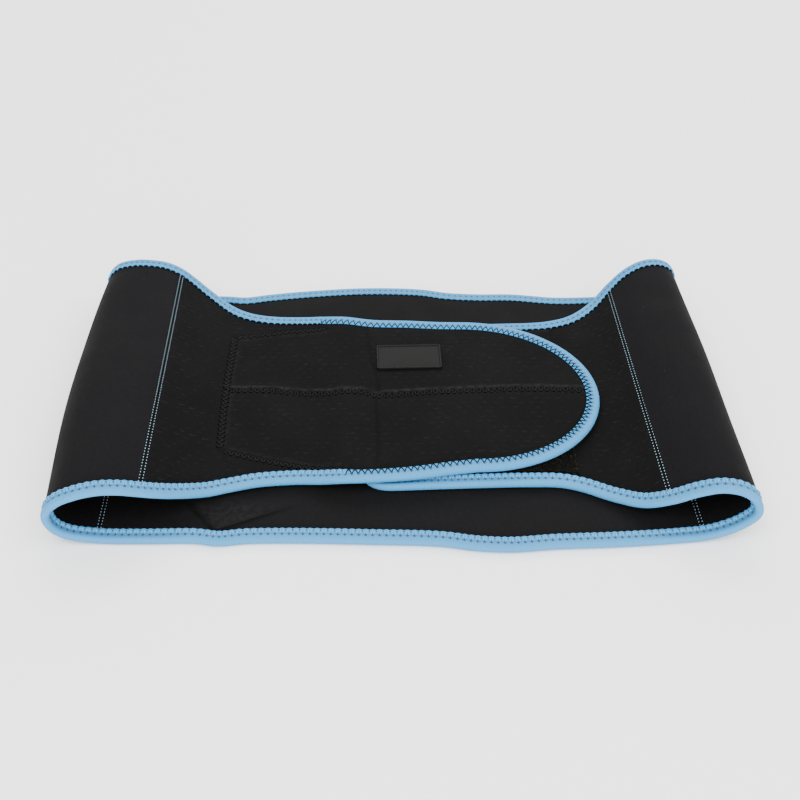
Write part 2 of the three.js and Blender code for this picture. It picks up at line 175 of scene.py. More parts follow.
LEFT_SIDE = [
    section(BACK_LEVEL, -0.872, 1.04, 0, 0.008, 0.008),
    section(BACK_LEVEL, -0.958, 1, 0, 0.11, 0.11, 0.3),
    section(BACK_LEVEL, -0.993, 1, 0, 0.28, 0.28, 0.8),
    section(BACK_LEVEL, -0.998, 1, 0, 0.52, 0.52, 1),
    section(LEFT_LEVEL, -0.963, 1, 0, 0.6, 0.6, 0.8),
    section(LEFT_LEVEL, -0.903, 0.97, 0, 0.715, 0.69, 0.5),
    section(LEFT_LEVEL, -0.845, 0.92, 0, 0.74, 0.71, 0.3),
    section(LEFT_LEVEL, -0.79, 0.87, 0, 0.695, 0.68, 0.2),
]
LEFT_FRONT = [
    section(LEFT_LEVEL, -0.742, 0.8, 0, 0.59, 0.59, 0.1),
    section(LEFT_LEVEL, -0.7, 0.7, 0, 0.46, 0.46),
    section(LEFT_LEVEL, -0.65, 0.55, 0, 0.3, 0.3),
    section(LEFT_LEVEL, -0.57, 0.31, 0, 0.1, 0.1),
    section(LEFT_LEVEL, -0.505, 0.15, 0, 0.04, 0.04),
    section(LEFT_LEVEL, -0.426, 0.04, -0.05, 0.018, 0.018),
    section(LEFT_LEVEL, FLAP_CLIMBED - 0.142, 0, -0.05, 0.018, 0.018),
    section(LEFT_LEVEL, FLAP_CLIMBED - 0.073, 0, 0.2, 0.07, 0.07),
    section(FLAP_LEVEL, along_flap(0), -0.12, 0.6, 0, 0),
    section(FLAP_LEVEL, along_flap(0.24), -0.37, 0.8, 0, 0),
    section(FLAP_LEVEL, along_flap(0.53), -0.55, 0.8, 0, 0),
    section(FLAP_LEVEL, along_flap(0.8), -0.85, 0.75, 0, 0),
    section(FLAP_LEVEL, along_flap(1), -1, 0.7, 0, 0),
]
SECTIONS = np.array([*RIGHT_FRONT, *RIGHT_SIDE, *BACK, *LEFT_SIDE, *LEFT_FRONT], float)
LAYER, AT, WIDE, LEANS, NEAR, FAR, BOWS = SECTIONS.T

# Places of the seams, counted in sections
LAST = len(SECTIONS) - 1
RIGHT_TOP_SEAM = len(RIGHT_FRONT)
RIGHT_LOW_SEAM = RIGHT_TOP_SEAM + len(RIGHT_SIDE)
LEFT_LOW_SEAM = RIGHT_LOW_SEAM + len(BACK)
LEFT_TOP_SEAM = LEFT_LOW_SEAM + len(LEFT_SIDE)
SEAMS = (RIGHT_TOP_SEAM, RIGHT_LOW_SEAM, LEFT_LOW_SEAM, LEFT_TOP_SEAM)
HOOK_FIRST = LEFT_TOP_SEAM + 3
HOOK_FULL_WIDTH = HOOK_FIRST + 4
LOOP_LAST = 4

# How each round end is drawn: length, how square it is, which way it points, drift of its lean
FLAP_TIP = dict(row=LAST, length=TIP_LENGTH, square=2.0, direction=1, drift=0.3)
HIDDEN_END = dict(row=0, length=END_LENGTH, square=3.2, direction=-1, drift=0.0)


def unit(vectors):
    """Each vector divided by its length."""
    return vectors / np.maximum(np.linalg.norm(vectors, axis=-1, keepdims=True), 1e-12)


def smooth_step(low, high, value):
    """0 below low and 1 above high, with the cubic 3tt - 2ttt between them."""
    t = np.clip((value - low) / (high - low), 0, 1)
    return t * t * (3 - 2 * t)


def bell(distance, width):
    """1 on a line, falling off with the distance as e to the minus square of distance over width."""
    return np.exp(-((distance / width) ** 2))


def half_width(wide):
    """Half the strip's width, in straight steps from the flap's at -1 to the back's at 2."""
    front, side, back = FRONT_WIDTH / 2, SIDE_WIDTH / 2, BACK_WIDTH / 2
    return np.interp(wide, (-1, 0, 1, 2), (FLAP_WIDTH / 2, front, side, back))


def edge_points(side, heights):
    """Points of one long edge, a row for each section: out from the middle by half the width, moved
    towards the viewer by the lean, and up by a share of the fold's height."""
    y = side * half_width(WIDE) - LEANS * LEAN
    return np.stack([AT * HALF_SPAN, y, LAYER + heights * FOLD_HEIGHT], axis=1)


NEAR_EDGE = edge_points(-1, NEAR)
FAR_EDGE = edge_points(1, FAR)


def catmull_rom(points, place):
    """Point and slope of the smooth curve through points, at places counted in points. Between two
    points it is the cubic whose end slopes are those of the parabolas through each point and its two
    neighbours, with knots spaced by the square root of the distances."""
    ends = np.vstack([2 * points[0] - points[1], points, 2 * points[-1] - points[-2]])
    index = np.clip(np.floor(place).astype(int), 0, len(points) - 2)
    w = (place - index)[:, None]
    a, b, c, d = (ends[index + step] for step in range(4))
    ab, bc, cd = (
        np.sqrt(np.linalg.norm(q - p, axis=1, keepdims=True)) for p, q in ((a, b), (b, c), (c, d))
    )
    slope_b = ((b - a) / ab - (c - a) / (ab + bc) + (c - b) / bc) * bc
    slope_c = ((c - b) / bc - (d - b) / (bc + cd) + (d - c) / cd) * bc
    square = 3 * (c - b) - 2 * slope_b - slope_c
    cube = 2 * (b - c) + slope_b + slope_c
    return b + w * (slope_b + w * (square + w * cube)), slope_b + w * (2 * square + 3 * w * cube)


@dataclass
class Stations:
    """Cross lines of the strip, one row for each: its two ends on the outline, the way in from each
    for one metre of depth, the outward normals there, the bow, and the distance along the strip."""

    near: np.ndarray
    far: np.ndarray
    near_in: np.ndarray
    far_in: np.ndarray
    near_up: np.ndarray
    far_up: np.ndarray
    bow: np.ndarray
    along: np.ndarray


def join(*parts):
    """One run of stations from several."""
    return Stations(*(np.concatenate([getattr(p, f.name) for p in parts]) for f in fields(Stations)))


def turned_round(stations):
    """The same stations in the opposite order."""
    return Stations(*(getattr(stations, f.name)[::-1] for f in fields(Stations)))


def stations_at(place):
    """Stations at places counted in sections."""
    place = np.asarray(place, float)
    near, near_slope = catmull_rom(NEAR_EDGE, place)
    far, far_slope = catmull_rom(FAR_EDGE, place)
    chord = unit(far - near)
    near_across = np.cross(unit(near_slope), chord)
    far_across = np.cross(unit(far_slope), chord)
    near_in = chord / np.linalg.norm(near_across, axis=1, keepdims=True)
    far_in = -chord / np.linalg.norm(far_across, axis=1, keepdims=True)
    bow = BOW * np.interp(place, np.arange(len(SECTIONS)), BOWS)
    along = np.interp(place, ARC_PLACES, ARC_LENGTHS)
    return Stations(near, far, near_in, far_in, unit(near_across), unit(far_across), bow, along)


def round_end(turn, row, length, square, direction, drift):
    """Stations of a round end: a superellipse, flat at the level of its section. turn runs from 0,
    where the end begins, to a quarter turn at its outermost point."""
    reach = np.sin(turn) ** (2 / square)
    opening = np.maximum(np.cos(turn), 1e-9) ** (2 / square)
    half = half_width(WIDE[row])
    zero = np.zeros_like(turn)
    centre = np.stack([
        AT[row] * HALF_SPAN + direction * length * reach,
        -(LEANS[row] + drift * reach) * LEAN,
        zero + LAYER[row],
    ], axis=1)
    sides = []
    for side in (-1, 1):
        slope = np.stack([
            direction * reach ** (square - 1) / length,
            side * opening ** (square - 1) / half,
            zero,
        ], axis=1)
        outline = centre + np.stack([zero, side * half * opening, zero], axis=1)
        sides.append((outline, -unit(slope)))
    up = np.tile((0.0, 0.0, 1.0), (len(turn), 1))
    along = ARC_LENGTHS[-1 if direction > 0 else 0] + direction * length * reach
    (near, near_in), (far, far_in) = sides
    return Stations(near, far, near_in, far_in, up, up, zero, along)


def middle_line(places):
    """Points halfway between the strip's two edges."""
    return (catmull_rom(NEAR_EDGE, places)[0] + catmull_rom(FAR_EDGE, places)[0]) / 2


def arc_table():
    """Distance along the strip's middle line at many places."""
    places = np.linspace(0, LAST, 60 * LAST + 1)
    steps = np.linalg.norm(np.diff(middle_line(places), axis=0), axis=1)
    return places, np.concatenate([[0], np.cumsum(steps)])


ARC_PLACES, ARC_LENGTHS = arc_table()


def arc_at(place):
    """Distance along the strip at places counted in sections."""
    return np.interp(place, ARC_PLACES, ARC_LENGTHS)


def place_at(arc):
    """Places counted in sections at distances along the strip."""
    return np.interp(arc, ARC_LENGTHS, ARC_PLACES)


# The solids' frame has its origin under the middle of the whole belt. The badge's box says where
# that is, because the badge's own place is worked out above
LOCAL_BADGE = np.array([
    FLAP_REACH - BADGE_FROM_TIP,
    BADGE_OFF_CENTRE - LEANS[LAST] * LEAN,
    FLAP_LEVEL + HALF_CLOTH + FIT,
])
BADGE_BOX = np.array([list(corner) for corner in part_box("badge")])
SHIFT = np.append(BADGE_BOX.mean(0)[:2], BADGE_BOX[0, 2]) - LOCAL_BADGE

PRESSED = 0.78  # share of its thickness that the cloth keeps under the tape
SWELLS_FROM = TAPE_FACE - 1 * MM  # depth at which the cloth starts to swell back
SWOLLEN_AT = TAPE_FACE + 4.5 * MM  # depth at which it has its full thickness


def cloth_half(depth):
    """Half the thickness of the neoprene at a depth in from the outline. It is pressed thin under
    the tape and its stitching, and swells back to full thickness inside it."""
    return HALF_CLOTH * lerp(PRESSED, 1, smooth_step(SWELLS_FROM, SWOLLEN_AT, depth))


def band_point(outline, inward, up, depth, height):
    """Points at a depth in from the outline and a height over the middle surface."""
    return outline + inward * depth[..., None] + up * height[..., None]


def cloth_point(stations, depth, share, height):
    """Points between the strip's two edges. Each lies on the straight line from the near edge's
    point at that depth to the far edge's, share of the way across, raised by the bow times the sine
    of half a turn times the share."""
    s = stations
    rows = len(s.near)
    depth = np.broadcast_to(depth, height.shape)
    share = np.broadcast_to(share, height.shape)[..., None]
    near = band_point(s.near[:, None], s.near_in[:, None], s.near_up[:, None], depth, height)
    far = band_point(s.far[:, None], s.far_in[:, None], s.far_up[:, None], depth, height)
    up = unit(lerp(s.near_up[:, None], s.far_up[:, None], share))
    bow = s.bow.reshape(rows, 1, 1) * np.sin(np.pi * share)
    return lerp(near, far, share) + up * bow


def grid_quads(rows, columns, flip=False):
    """Corner numbers of the quads of a grid of points, which are numbered row by row."""
    i, j = np.meshgrid(np.arange(rows - 1), np.arange(columns - 1), indexing="ij")
    a = (i * columns + j).ravel()
    quads = np.stack([a, a + columns, a + columns + 1, a + 1], axis=1)
    return quads[:, ::-1] if flip else quads


def ring_quads(rows, columns, close_rows):
    """Quads of a tube whose rings have the given number of points."""
    starts = np.arange(rows if close_rows else rows - 1)
    i, j = np.meshgrid(starts, np.arange(columns), indexing="ij")
    after_i, after_j = (i + 1) % rows, (j + 1) % columns
    near, far = i * columns, after_i * columns
    corners = (near + j, near + after_j, far + after_j, far + j)
    return np.stack([c.ravel() for c in corners], axis=1)


def capped_quads(rows, sides):
    """Quads of a tube and of a fan at each end. The two fans' middle points follow the rings'."""
    side = np.arange(sides)
    after = (side + 1) % sides
    end = (rows - 1) * sides
    first, last = np.full(sides, rows * sides), np.full(sides, rows * sides + 1)
    return np.concatenate([
        ring_quads(rows, sides, False),
        np.stack([first, after, side, side], axis=1),
        np.stack([last, end + side, end + after, end + after], axis=1),
    ])


def make_mesh(name, points, faces, merge=False, **maps):
    """Mesh object from arrays of points and of quads, where a quad that repeats its third corner is
    a triangle. Each map is a UV map by that name, with one pair a point."""
    points = np.asarray(points, float).reshape(-1, 3) + SHIFT
    mesh = bpy.data.meshes.new(name)
    used = np.ones(faces.shape, bool)
    used[:, 3] = faces[:, 3] != faces[:, 2]
    corners = faces[used].astype(np.int32)
    starts = np.concatenate([[0], np.cumsum(used.sum(1))[:-1]]).astype(np.int32)
    mesh.vertices.add(len(points))
    mesh.vertices.foreach_set("co", points.astype(np.float32).ravel())
    mesh.loops.add(len(corners))
    mesh.loops.foreach_set("vertex_index", corners)
    mesh.polygons.add(len(faces))
    mesh.polygons.foreach_set("loop_start", starts)
    for label, pairs in maps.items():
        layer = mesh.uv_layers.new(name=label)
        layer.uv.foreach_set("vector", np.asarray(pairs, np.float32).reshape(-1, 2)[corners].ravel())
    mesh.update(calc_edges=True)
    if merge:
        work = bmesh.new()
        work.from_mesh(mesh)
        bmesh.ops.remove_doubles(work, verts=work.verts, dist=0.002 * MM)
        work.to_mesh(mesh)
        work.free()
    mesh.validate()
    mesh.shade_smooth()
    made = bpy.data.objects.new(name, mesh)
    bpy.context.scene.collection.objects.link(made)
    return made


def sheet(name, outer, inner, merge, **maps):
    """Closed sheet between two grids of points: both faces and the four edge walls."""
    rows, columns = outer.shape[:2]
    count = rows * columns
    skins = [grid_quads(rows, columns), grid_quads(rows, columns, flip=True) + count]
    i = np.arange(rows - 1) * columns
    j = np.arange(columns - 1)
    far, end = columns - 1, (rows - 1) * columns
    walls = [
        (i + count, i + columns + count, i + columns, i),
        (i + columns + far + count, i + far + count, i + far, i + columns + far),
        (j + 1 + count, j + count, j, j + 1),
        (end + j + count, end + j + 1 + count, end + j + 1, end + j),
    ]
    quads = np.concatenate([*skins, *(np.stack(wall, axis=1) for wall in walls)])
    points = np.concatenate([outer.reshape(-1, 3), inner.reshape(-1, 3)])
    both = {label: np.concatenate([pairs.reshape(-1, 2)] * 2) for label, pairs in maps.items()}
    return make_mesh(name, points, quads, merge, **both)


def finish_piece(piece, material, slot, *nodes):
    """Give a piece its material, hang it on the root body and hide the solids that it stands for.
    The slot is not used.
    """
    piece.data.materials.append(material)
    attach(piece, "root")
    if nodes:
        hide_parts(*nodes)
    return piece


# Stitched lines of the hook patch, which show on the flap's outer face. Each row is a point in the
# strip's own frame, in millimetres from its middle, and run says which axis the line runs along
MIDDLE_LINE = dict(run=0, points=[
    (-109.5, 1.5), (-95, 3), (-80, 3), (-58, -1.6), (-40, -5.5), (-24, -6.5), (-13, -11),
    (11, -8.8), (33, -8), (75, -6.8), (96, -8), (117, -10),
])
LEFT_LINE = dict(run=1, points=[(-108, 55.6), (-109.2, 16), (-109.2, -21), (-108.4, -53)])
TOP_LINE = dict(run=0, points=[(-108, 55.6), (-96, 59.2), (-71, 64.2), (-60, 64.6), (-46, 63)])
LOW_LINE = dict(run=0, points=[(-108.4, -53), (-87, -59.4), (-66, -65.6), (-45, -73.3), (-33, -76)])
PATCH_LINES = (MIDDLE_LINE, LEFT_LINE, TOP_LINE, LOW_LINE)
CREASE = dict(run=1, points=[
    (-20, 60), (-17.3, 30), (-13.3, 7.6), (-12.1, -3.5), (-14.5, -20), (-13.7, -45), (-14.7, -76),
])
LINE_FADE = 3 * MM  # distance over which a line fades out past its ends


def line_value(line, at):
    """The line's other coordinate at a coordinate on the axis that it runs along."""
    points = sorted((p[line["run"]] * MM, p[1 - line["run"]] * MM) for p in line["points"])
    return np.interp(at, *zip(*points))


def line_span(line):
    """Where a line starts and ends on the axis that it runs along."""
    ends = [p[line["run"]] * MM for p in line["points"]]
    return min(ends), max(ends)


def line_offset(line, x, y):
    """Signed distance to a line on the axis that it doesn't run along, its fade past its ends, and
    the place along it."""
    run, other = (x, y) if line["run"] == 0 else (y, x)
    low, high = line_span(line)
    fade = smooth_step(low - LINE_FADE, low, run) * (1 - smooth_step(high, high + LINE_FADE, run))
    return other - line_value(line, run), fade, run


def slow_waves(x, y, length):
    """Gentle unevenness from -1 to 1: four sine waves in fixed directions, added up."""
    waves = ((1.0, 0.35, 0.4), (-0.6, 1.0, 2.1), (0.45, -0.9, 4.0), (1.3, 0.8, 5.2))
    return sum(np.sin(2 * np.pi * (a * x + b * y) / length + c) for a, b, c in waves) / len(waves)


# The flap's relief: how far from its line each form lies, how wide it is and how high. The ridge's
# and the grooves' heights are shares of the pucker
RIDGE_AWAY, RIDGE_WIDTH = 2.6 * MM, 2.0 * MM
GROOVE_AWAY, GROOVE_WIDTH = -0.6 * MM, 1.5 * MM
SIDE_GROOVE_SHARE, SIDE_GROOVE_WIDTH = 0.3, 2.4 * MM
CREASE_DEPTH, CREASE_WIDTH = 0.5 * MM, 1.2 * MM
BULGE_AWAY, BULGE_WIDTH, BULGE_HEIGHT = 5 * MM, 4 * MM, 0.35 * MM
UNEVEN_HEIGHT, UNEVEN_LENGTH = 0.3 * MM, 90 * MM


def front_relief(x, y, depth, stitch_pitch, pucker):
    """Height of the left front's outer face over its plain surface. Each stitched line is a groove,
    the middle one with a pit at every second stitch. The cloth above the middle line is a raised
    ridge, and a shallow crease with a bulge beside it crosses the flap."""
    inside = smooth_step(TAPE_FACE + 0.5 * MM, TAPE_FACE + 5 * MM, depth)
    height = UNEVEN_HEIGHT * slow_waves(x, y, UNEVEN_LENGTH)
    for line in (LEFT_LINE, TOP_LINE, LOW_LINE):
        away, fade, _ = line_offset(line, x, y)
        height = height - SIDE_GROOVE_SHARE * pucker * fade * bell(away, SIDE_GROOVE_WIDTH)
    away, fade, run = line_offset(MIDDLE_LINE, x, y)
    pulled = 0.5 + 0.5 * np.cos(2 * np.pi * run / stitch_pitch)
    strength = 0.8 + 0.4 * np.sin(2 * np.pi * run / (37 * MM)) * np.sin(2 * np.pi * run / (23 * MM))
    ridge = bell(away - RIDGE_AWAY, RIDGE_WIDTH)
    groove = bell(away - GROOVE_AWAY, GROOVE_WIDTH) * (0.45 + 0.75 * pulled)
    height = height + pucker * fade * strength * (ridge - groove)
    away, fade, _ = line_offset(CREASE, x, y)
    bulge = BULGE_HEIGHT * bell(away - BULGE_AWAY, BULGE_WIDTH)
    return inside * (height + fade * (bulge - CREASE_DEPTH * bell(away, CREASE_WIDTH)))


def stitch_painted_light(x, y):
    """Two shares of painted light on the stitched cloth: a painted highlight on the pushed-up cloth
    beside a line, and painted shade along the line or the crease."""
    painted_highlight, sunk = np.zeros_like(x), np.zeros_like(x)
    for line, side in ((MIDDLE_LINE, 2.6), (LEFT_LINE, 3.2), (TOP_LINE, -3.2), (LOW_LINE, 3.2)):
        away, fade, _ = line_offset(line, x, y)
        weight = 0.8 if line is MIDDLE_LINE else 0.3
        # Painted highlight on the raised cloth beside the line, painted shade along the line
        painted_highlight = np.maximum(painted_highlight, weight * fade * bell(away - side * MM, 1.5 * MM))
        sunk = np.maximum(sunk, 0.8 * fade * bell(away, 1.7 * MM))
    away, fade, _ = line_offset(CREASE, x, y)
    return np.stack([painted_highlight, np.maximum(sunk, 0.5 * fade * bell(away, 1.0 * MM))], axis=-1)


def plain_relief(x, y, depth, amount):
    """Gentle waves of smooth cloth, which start inside the tape."""
    inside = smooth_step(TAPE_FACE + 0.5 * MM, TAPE_FACE + 9 * MM, depth)
    return inside * amount * slow_waves(x, y, 110 * MM)


# Buckle of the floor layer's near edge: two creases that run in from the edge and meet, in
# millimetres in the strip's own frame, with the cloth between them raised
BUCKLE = [(-124, -90.5), (-106, -111), (-60, -92.5)]
BUCKLE_SPAN = (-130 * MM, -45 * MM)  # along X, where the floor layer's mesh is finer
BUCKLE_HEIGHT = 1.6 * MM
BUCKLE_CREASE_DEPTH = 0.8 * MM


def buckle_shape(x, y):
    """How much of the floor layer's buckle is at each place: the plateau that its two creases enclose,
    which rises over a short distance from each, and the narrow creases themselves."""
    corner = np.array(BUCKLE[1]) * MM
    plateau, sunk = np.ones_like(x), np.zeros_like(x)
    for start, side in ((BUCKLE[0], 1), (BUCKLE[2], -1)):
        a = np.array(start) * MM
        along = corner - a
        length = np.hypot(*along)
        share = ((x - a[0]) * along[0] + (y - a[1]) * along[1]) / length ** 2
        away = side * ((y - a[1]) * along[0] - (x - a[0]) * along[1]) / length
        plateau = plateau * smooth_step(-0.5 * MM, 4 * MM, away)
        strength = smooth_step(-0.1, 0.5, share) * (1 - smooth_step(1, 1.2, share))
        sunk = np.maximum(sunk, strength * bell(away + 0.5 * MM, 1.5 * MM))
    fade = 1 - smooth_step(14 * MM, 30 * MM, np.hypot((x - corner[0]) * 0.5, y - corner[1]))
    return plateau * fade, sunk


def buckle_relief(x, y, depth):
    """Height of the floor layer's inner face at its buckle."""
    inside = smooth_step(TAPE_FACE, TAPE_FACE + 2 * MM, depth)
    plateau, sunk = buckle_shape(x, y)
    return inside * (BUCKLE_HEIGHT * plateau - BUCKLE_CREASE_DEPTH * sunk)


def buckle_painted_light(x, y):
    """Painted highlight on the buckle's plateau and painted shade in its creases."""
    plateau, sunk = buckle_shape(x, y)
    return np.stack([0.45 * plateau, 0.85 * sunk], axis=-1)


SEAM_GAP = 0.04 * MM  # half the gap between two panels
BESIDE_SEAM = np.array([0.35, 0.7, 1.1, 1.6]) * MM  # distances of the closer places beside a seam
CLEAR_OF_SEAM = 2.2 * MM  # distance from which the places are even again


def spaced(first, last, step, fine_first=False, fine_last=False):
    """Places from one section to another, evenly spaced along the strip, with a few more beside the
    seams, where the cloth dips."""
    start, end = arc_at(first), arc_at(last)
    arcs = np.linspace(start, end, int(np.ceil((end - start) / step)) + 1)
    if fine_first:
        even = arcs[arcs > start + CLEAR_OF_SEAM]
        arcs = np.concatenate([[start + SEAM_GAP], start + BESIDE_SEAM, even])
    if fine_last:
        even = arcs[arcs < end - CLEAR_OF_SEAM]
        arcs = np.concatenate([even, end - BESIDE_SEAM[::-1], [end - SEAM_GAP]])
    return place_at(arcs)


def finer(places, low, high):
    """The same places, with each gap split in two where the strip's middle lies between two X."""
    middle = middle_line(places)[:, 0]
    split = (middle[:-1] > low) & (middle[:-1] < high)
    halves = (places[:-1] + places[1:])[split] / 2
    return np.sort(np.concatenate([places, halves]))


CLOTH_INSET = 1.2 * MM  # depth of the cloth's own edge inside the tape


def cross_lines(step, width, dense_at=None, reach=9 * MM):
    """Depths and shares of the lines along a panel: a band under the tape on each side, and the open
    cloth between, with closer lines round one share of the way across if that is wanted."""
    band = np.linspace(CLOTH_INSET, TAPE_FACE, 6)[:-1]
    shares = np.linspace(0, 1, int(np.ceil(width / step)) + 1)
    if dense_at is not None:
        reach = reach / width
        fine = np.arange(dense_at - reach, dense_at + reach, 0.6 * MM / width)
        shares = np.concatenate([shares[np.abs(shares - dense_at) > reach * 1.05], fine])
        shares = np.unique(np.clip(shares, 0, 1))
    depth = np.concatenate([band, np.full(len(shares), TAPE_FACE), band[::-1]])
    share = np.concatenate([np.zeros(len(band)), shares, np.ones(len(band))])
    return depth, share


def panel_grid(stations, depth, share):
    """Middle surface of a panel, its distance from the outline, and its flat coordinates: the
    distance along the strip and the distance across from its middle line."""
    zero = np.zeros((len(stations.near), len(depth)))
    middle = cloth_point(stations, depth[None], share[None], zero)
    face = np.full(len(stations.near), TAPE_FACE)
    near = band_point(stations.near, stations.near_in, stations.near_up, face, zero[:, 0])
    far = band_point(stations.far, stations.far_in, stations.far_up, face, zero[:, 0])
    width = np.linalg.norm(far - near, axis=1)[:, None]
    from_edge = depth[None] + width * np.minimum(share, 1 - share)[None]
    centre = ((stations.near + stations.far) / 2)[:, None]
    chord = unit(stations.far - stations.near + (0, 1e-9, 0))[:, None]
    forward = unit(np.cross(chord, stations.near_up[:, None]))
    offset = middle - centre
    flat = np.stack([
        stations.along[:, None] + (offset * forward).sum(-1),
        (offset * chord).sum(-1),
    ], axis=-1)
    return middle, from_edge, flat


DIP_WIDTH = 0.65 * MM  # distance from a seam at which the dip is down to about a third


def seam_dip(along, amount):
    """How far both faces of the cloth dip at the seams: a bell of the distance to the nearest one."""
    away = np.min([np.abs(along - arc_at(seam)) for seam in SEAMS], axis=0)
    return amount * bell(away, DIP_WIDTH)


def no_painted_light(x, y):
    """Cloth with no stitched lines: no painted highlight and no painted shade anywhere. neither rubbed
    nor sunk anywhere.
    """
    return np.zeros((*x.shape, 2))


def make_panel(name, stations, lines, relief, dip, merge=False, wear=no_painted_light):
    """One neoprene panel: a closed sheet as thick as cloth_half says, with its relief added to its
    outer and inner faces, and both dipping at its seams."""
    depth, share = lines
    middle, from_edge, flat = panel_grid(stations, depth, share)
    dip = seam_dip(flat[..., 0], dip)
    dip = dip * smooth_step(TAPE_FACE - 2 * MM, TAPE_FACE + 1 * MM, from_edge)
    outer_relief, inner_relief = relief(middle[..., 0], middle[..., 1], from_edge)
    half = cloth_half(from_edge) - dip
    outer = cloth_point(stations, depth[None], share[None], half + outer_relief)
    inner = cloth_point(stations, depth[None], share[None], -half + inner_relief)
    return sheet(name, outer, inner, merge, pattern=flat, wear=wear(middle[..., 0], middle[..., 1]))


@dataclass
class Outline:
    """The strip's outline as a closed line of evenly spaced points: places, ways in and normals."""

    point: np.ndarray
    inward: np.ndarray
    up: np.ndarray
    length: float


def closed_outline(count):
    """The outline sampled finely, then spread evenly by its own length. The way in is the normal
    times the line's direction, so that it stays square to the outline."""
    turn = np.linspace(0, np.pi / 2, 240)
    places = np.linspace(0, LAST, 80 * LAST + 1)
    strip, tip, hidden = stations_at(places), round_end(turn, **FLAP_TIP), round_end(turn, **HIDDEN_END)
    near = join(turned_round(hidden), strip, tip)
    point = np.concatenate([near.near, near.far[::-1]])
    inward = np.concatenate([near.near_in, near.far_in[::-1]])
    up = np.concatenate([near.near_up, near.far_up[::-1]])
    step = np.linalg.norm(np.roll(point, -1, axis=0) - point, axis=1)
    kept = step > 1e-7
    point, inward, up, step = point[kept], inward[kept], up[kept], step[kept]
    arc = np.concatenate([[0], np.cumsum(step)])
    wanted = np.arange(count) * arc[-1] / count

    def spread(values):
        closed = np.vstack([values, values[:1]])
        return np.stack([np.interp(wanted, arc, column) for column in closed.T], axis=1)

    point, inward, up = spread(point), spread(inward), unit(spread(up))
    forward = np.roll(point, -2, axis=0) - np.roll(point, 2, axis=0)
    square = unit(np.cross(up, unit(forward)))
    square = square * np.sign((square * inward).sum(1, keepdims=True))
    return Outline(point, even_out(square), even_out(up), arc[-1])


def even_out(vectors, reach=5):
    """Directions round a closed line, each the mean of its neighbours'."""
    return unit(sum(np.roll(vectors, step, axis=0) for step in range(-reach, reach + 1)))


RINGS_PER_STITCH = 6
EDGE_ROUND = 2.3 * MM  # depth over which the tape turns round the edge
EDGE_HALF = 2.45 * MM  # half the thickness of the taped edge, pressed a little by its stitching
NEEDLE_DEPTH = 4.7 * MM  # depth of the zigzag's outer needle holes
LIP_NEEDLE_DEPTH = 8.3 * MM  # depth of its inner ones, by the tape's cut edge
LIP_HEIGHT = 0.5 * MM  # height of the tape's face over the cloth at its cut edge
LIP_THICKNESS = 0.8 * MM  # thickness of the tape where a bead lifts it off the cloth
DRAW_BACK = 0.25 * MM  # how far the cut edge draws back between two stitches
INSIDE_DEPTH = 1.1 * MM  # depth of the tape's inner side at the cloth's edge
CLOTH_CLEARANCE = 0.03 * MM  # gap between the tape's inner side and the cloth
PULL_WIDTH = 0.8 * MM  # how wide the thread pulls the tape down
ROW_WIDTH = 1.0 * MM  # how wide the tape sinks along its row of outer needle holes
BEADS_FROM, BEADS_FULL = 4.7 * MM, 6.8 * MM  # depths at which the beads start and are full


def zigzag(phase):
    """0 at the outer needle hole and 1 at the inner one, straight between: a triangle wave."""
    return 1 - np.abs(2 * (phase % 1) - 1)


def lip_depth(phase):
    """Depth of the tape's cut edge: round scallops that draw back between the points where the
    stitches hold it, each half an ellipse."""
    return TAPE_FACE - DRAW_BACK * np.sqrt(1 - 0.99 * zigzag(phase) ** 2)


def tape_height(depth, phase, swell):
    """Height of the tape's face over the cloth's middle surface. It falls from the thick outer edge
    to the cut edge, swells up in round beads between the stitches there, each a half circle with a
    sharp crease where the stitch holds it, and is pulled down along the zigzag."""
    share = np.clip((depth - EDGE_ROUND) / (TAPE_FACE - EDGE_ROUND), 0, 1.1)
    base = lerp(EDGE_HALF, cloth_half(depth) + LIP_HEIGHT, share ** 1.4)
    thread = lerp(NEEDLE_DEPTH, LIP_NEEDLE_DEPTH, zigzag(phase))
    pulled = bell(depth - thread, PULL_WIDTH) * lerp(1.2, 0.6, zigzag(phase))
    row = bell(depth - NEEDLE_DEPTH - 0.3 * MM, ROW_WIDTH)
    bead = smooth_step(BEADS_FROM, BEADS_FULL, depth) * np.sqrt(1 - 0.97 * zigzag(phase) ** 2)
    return base + swell * (bead - 0.45 * pulled - 0.25 * row)


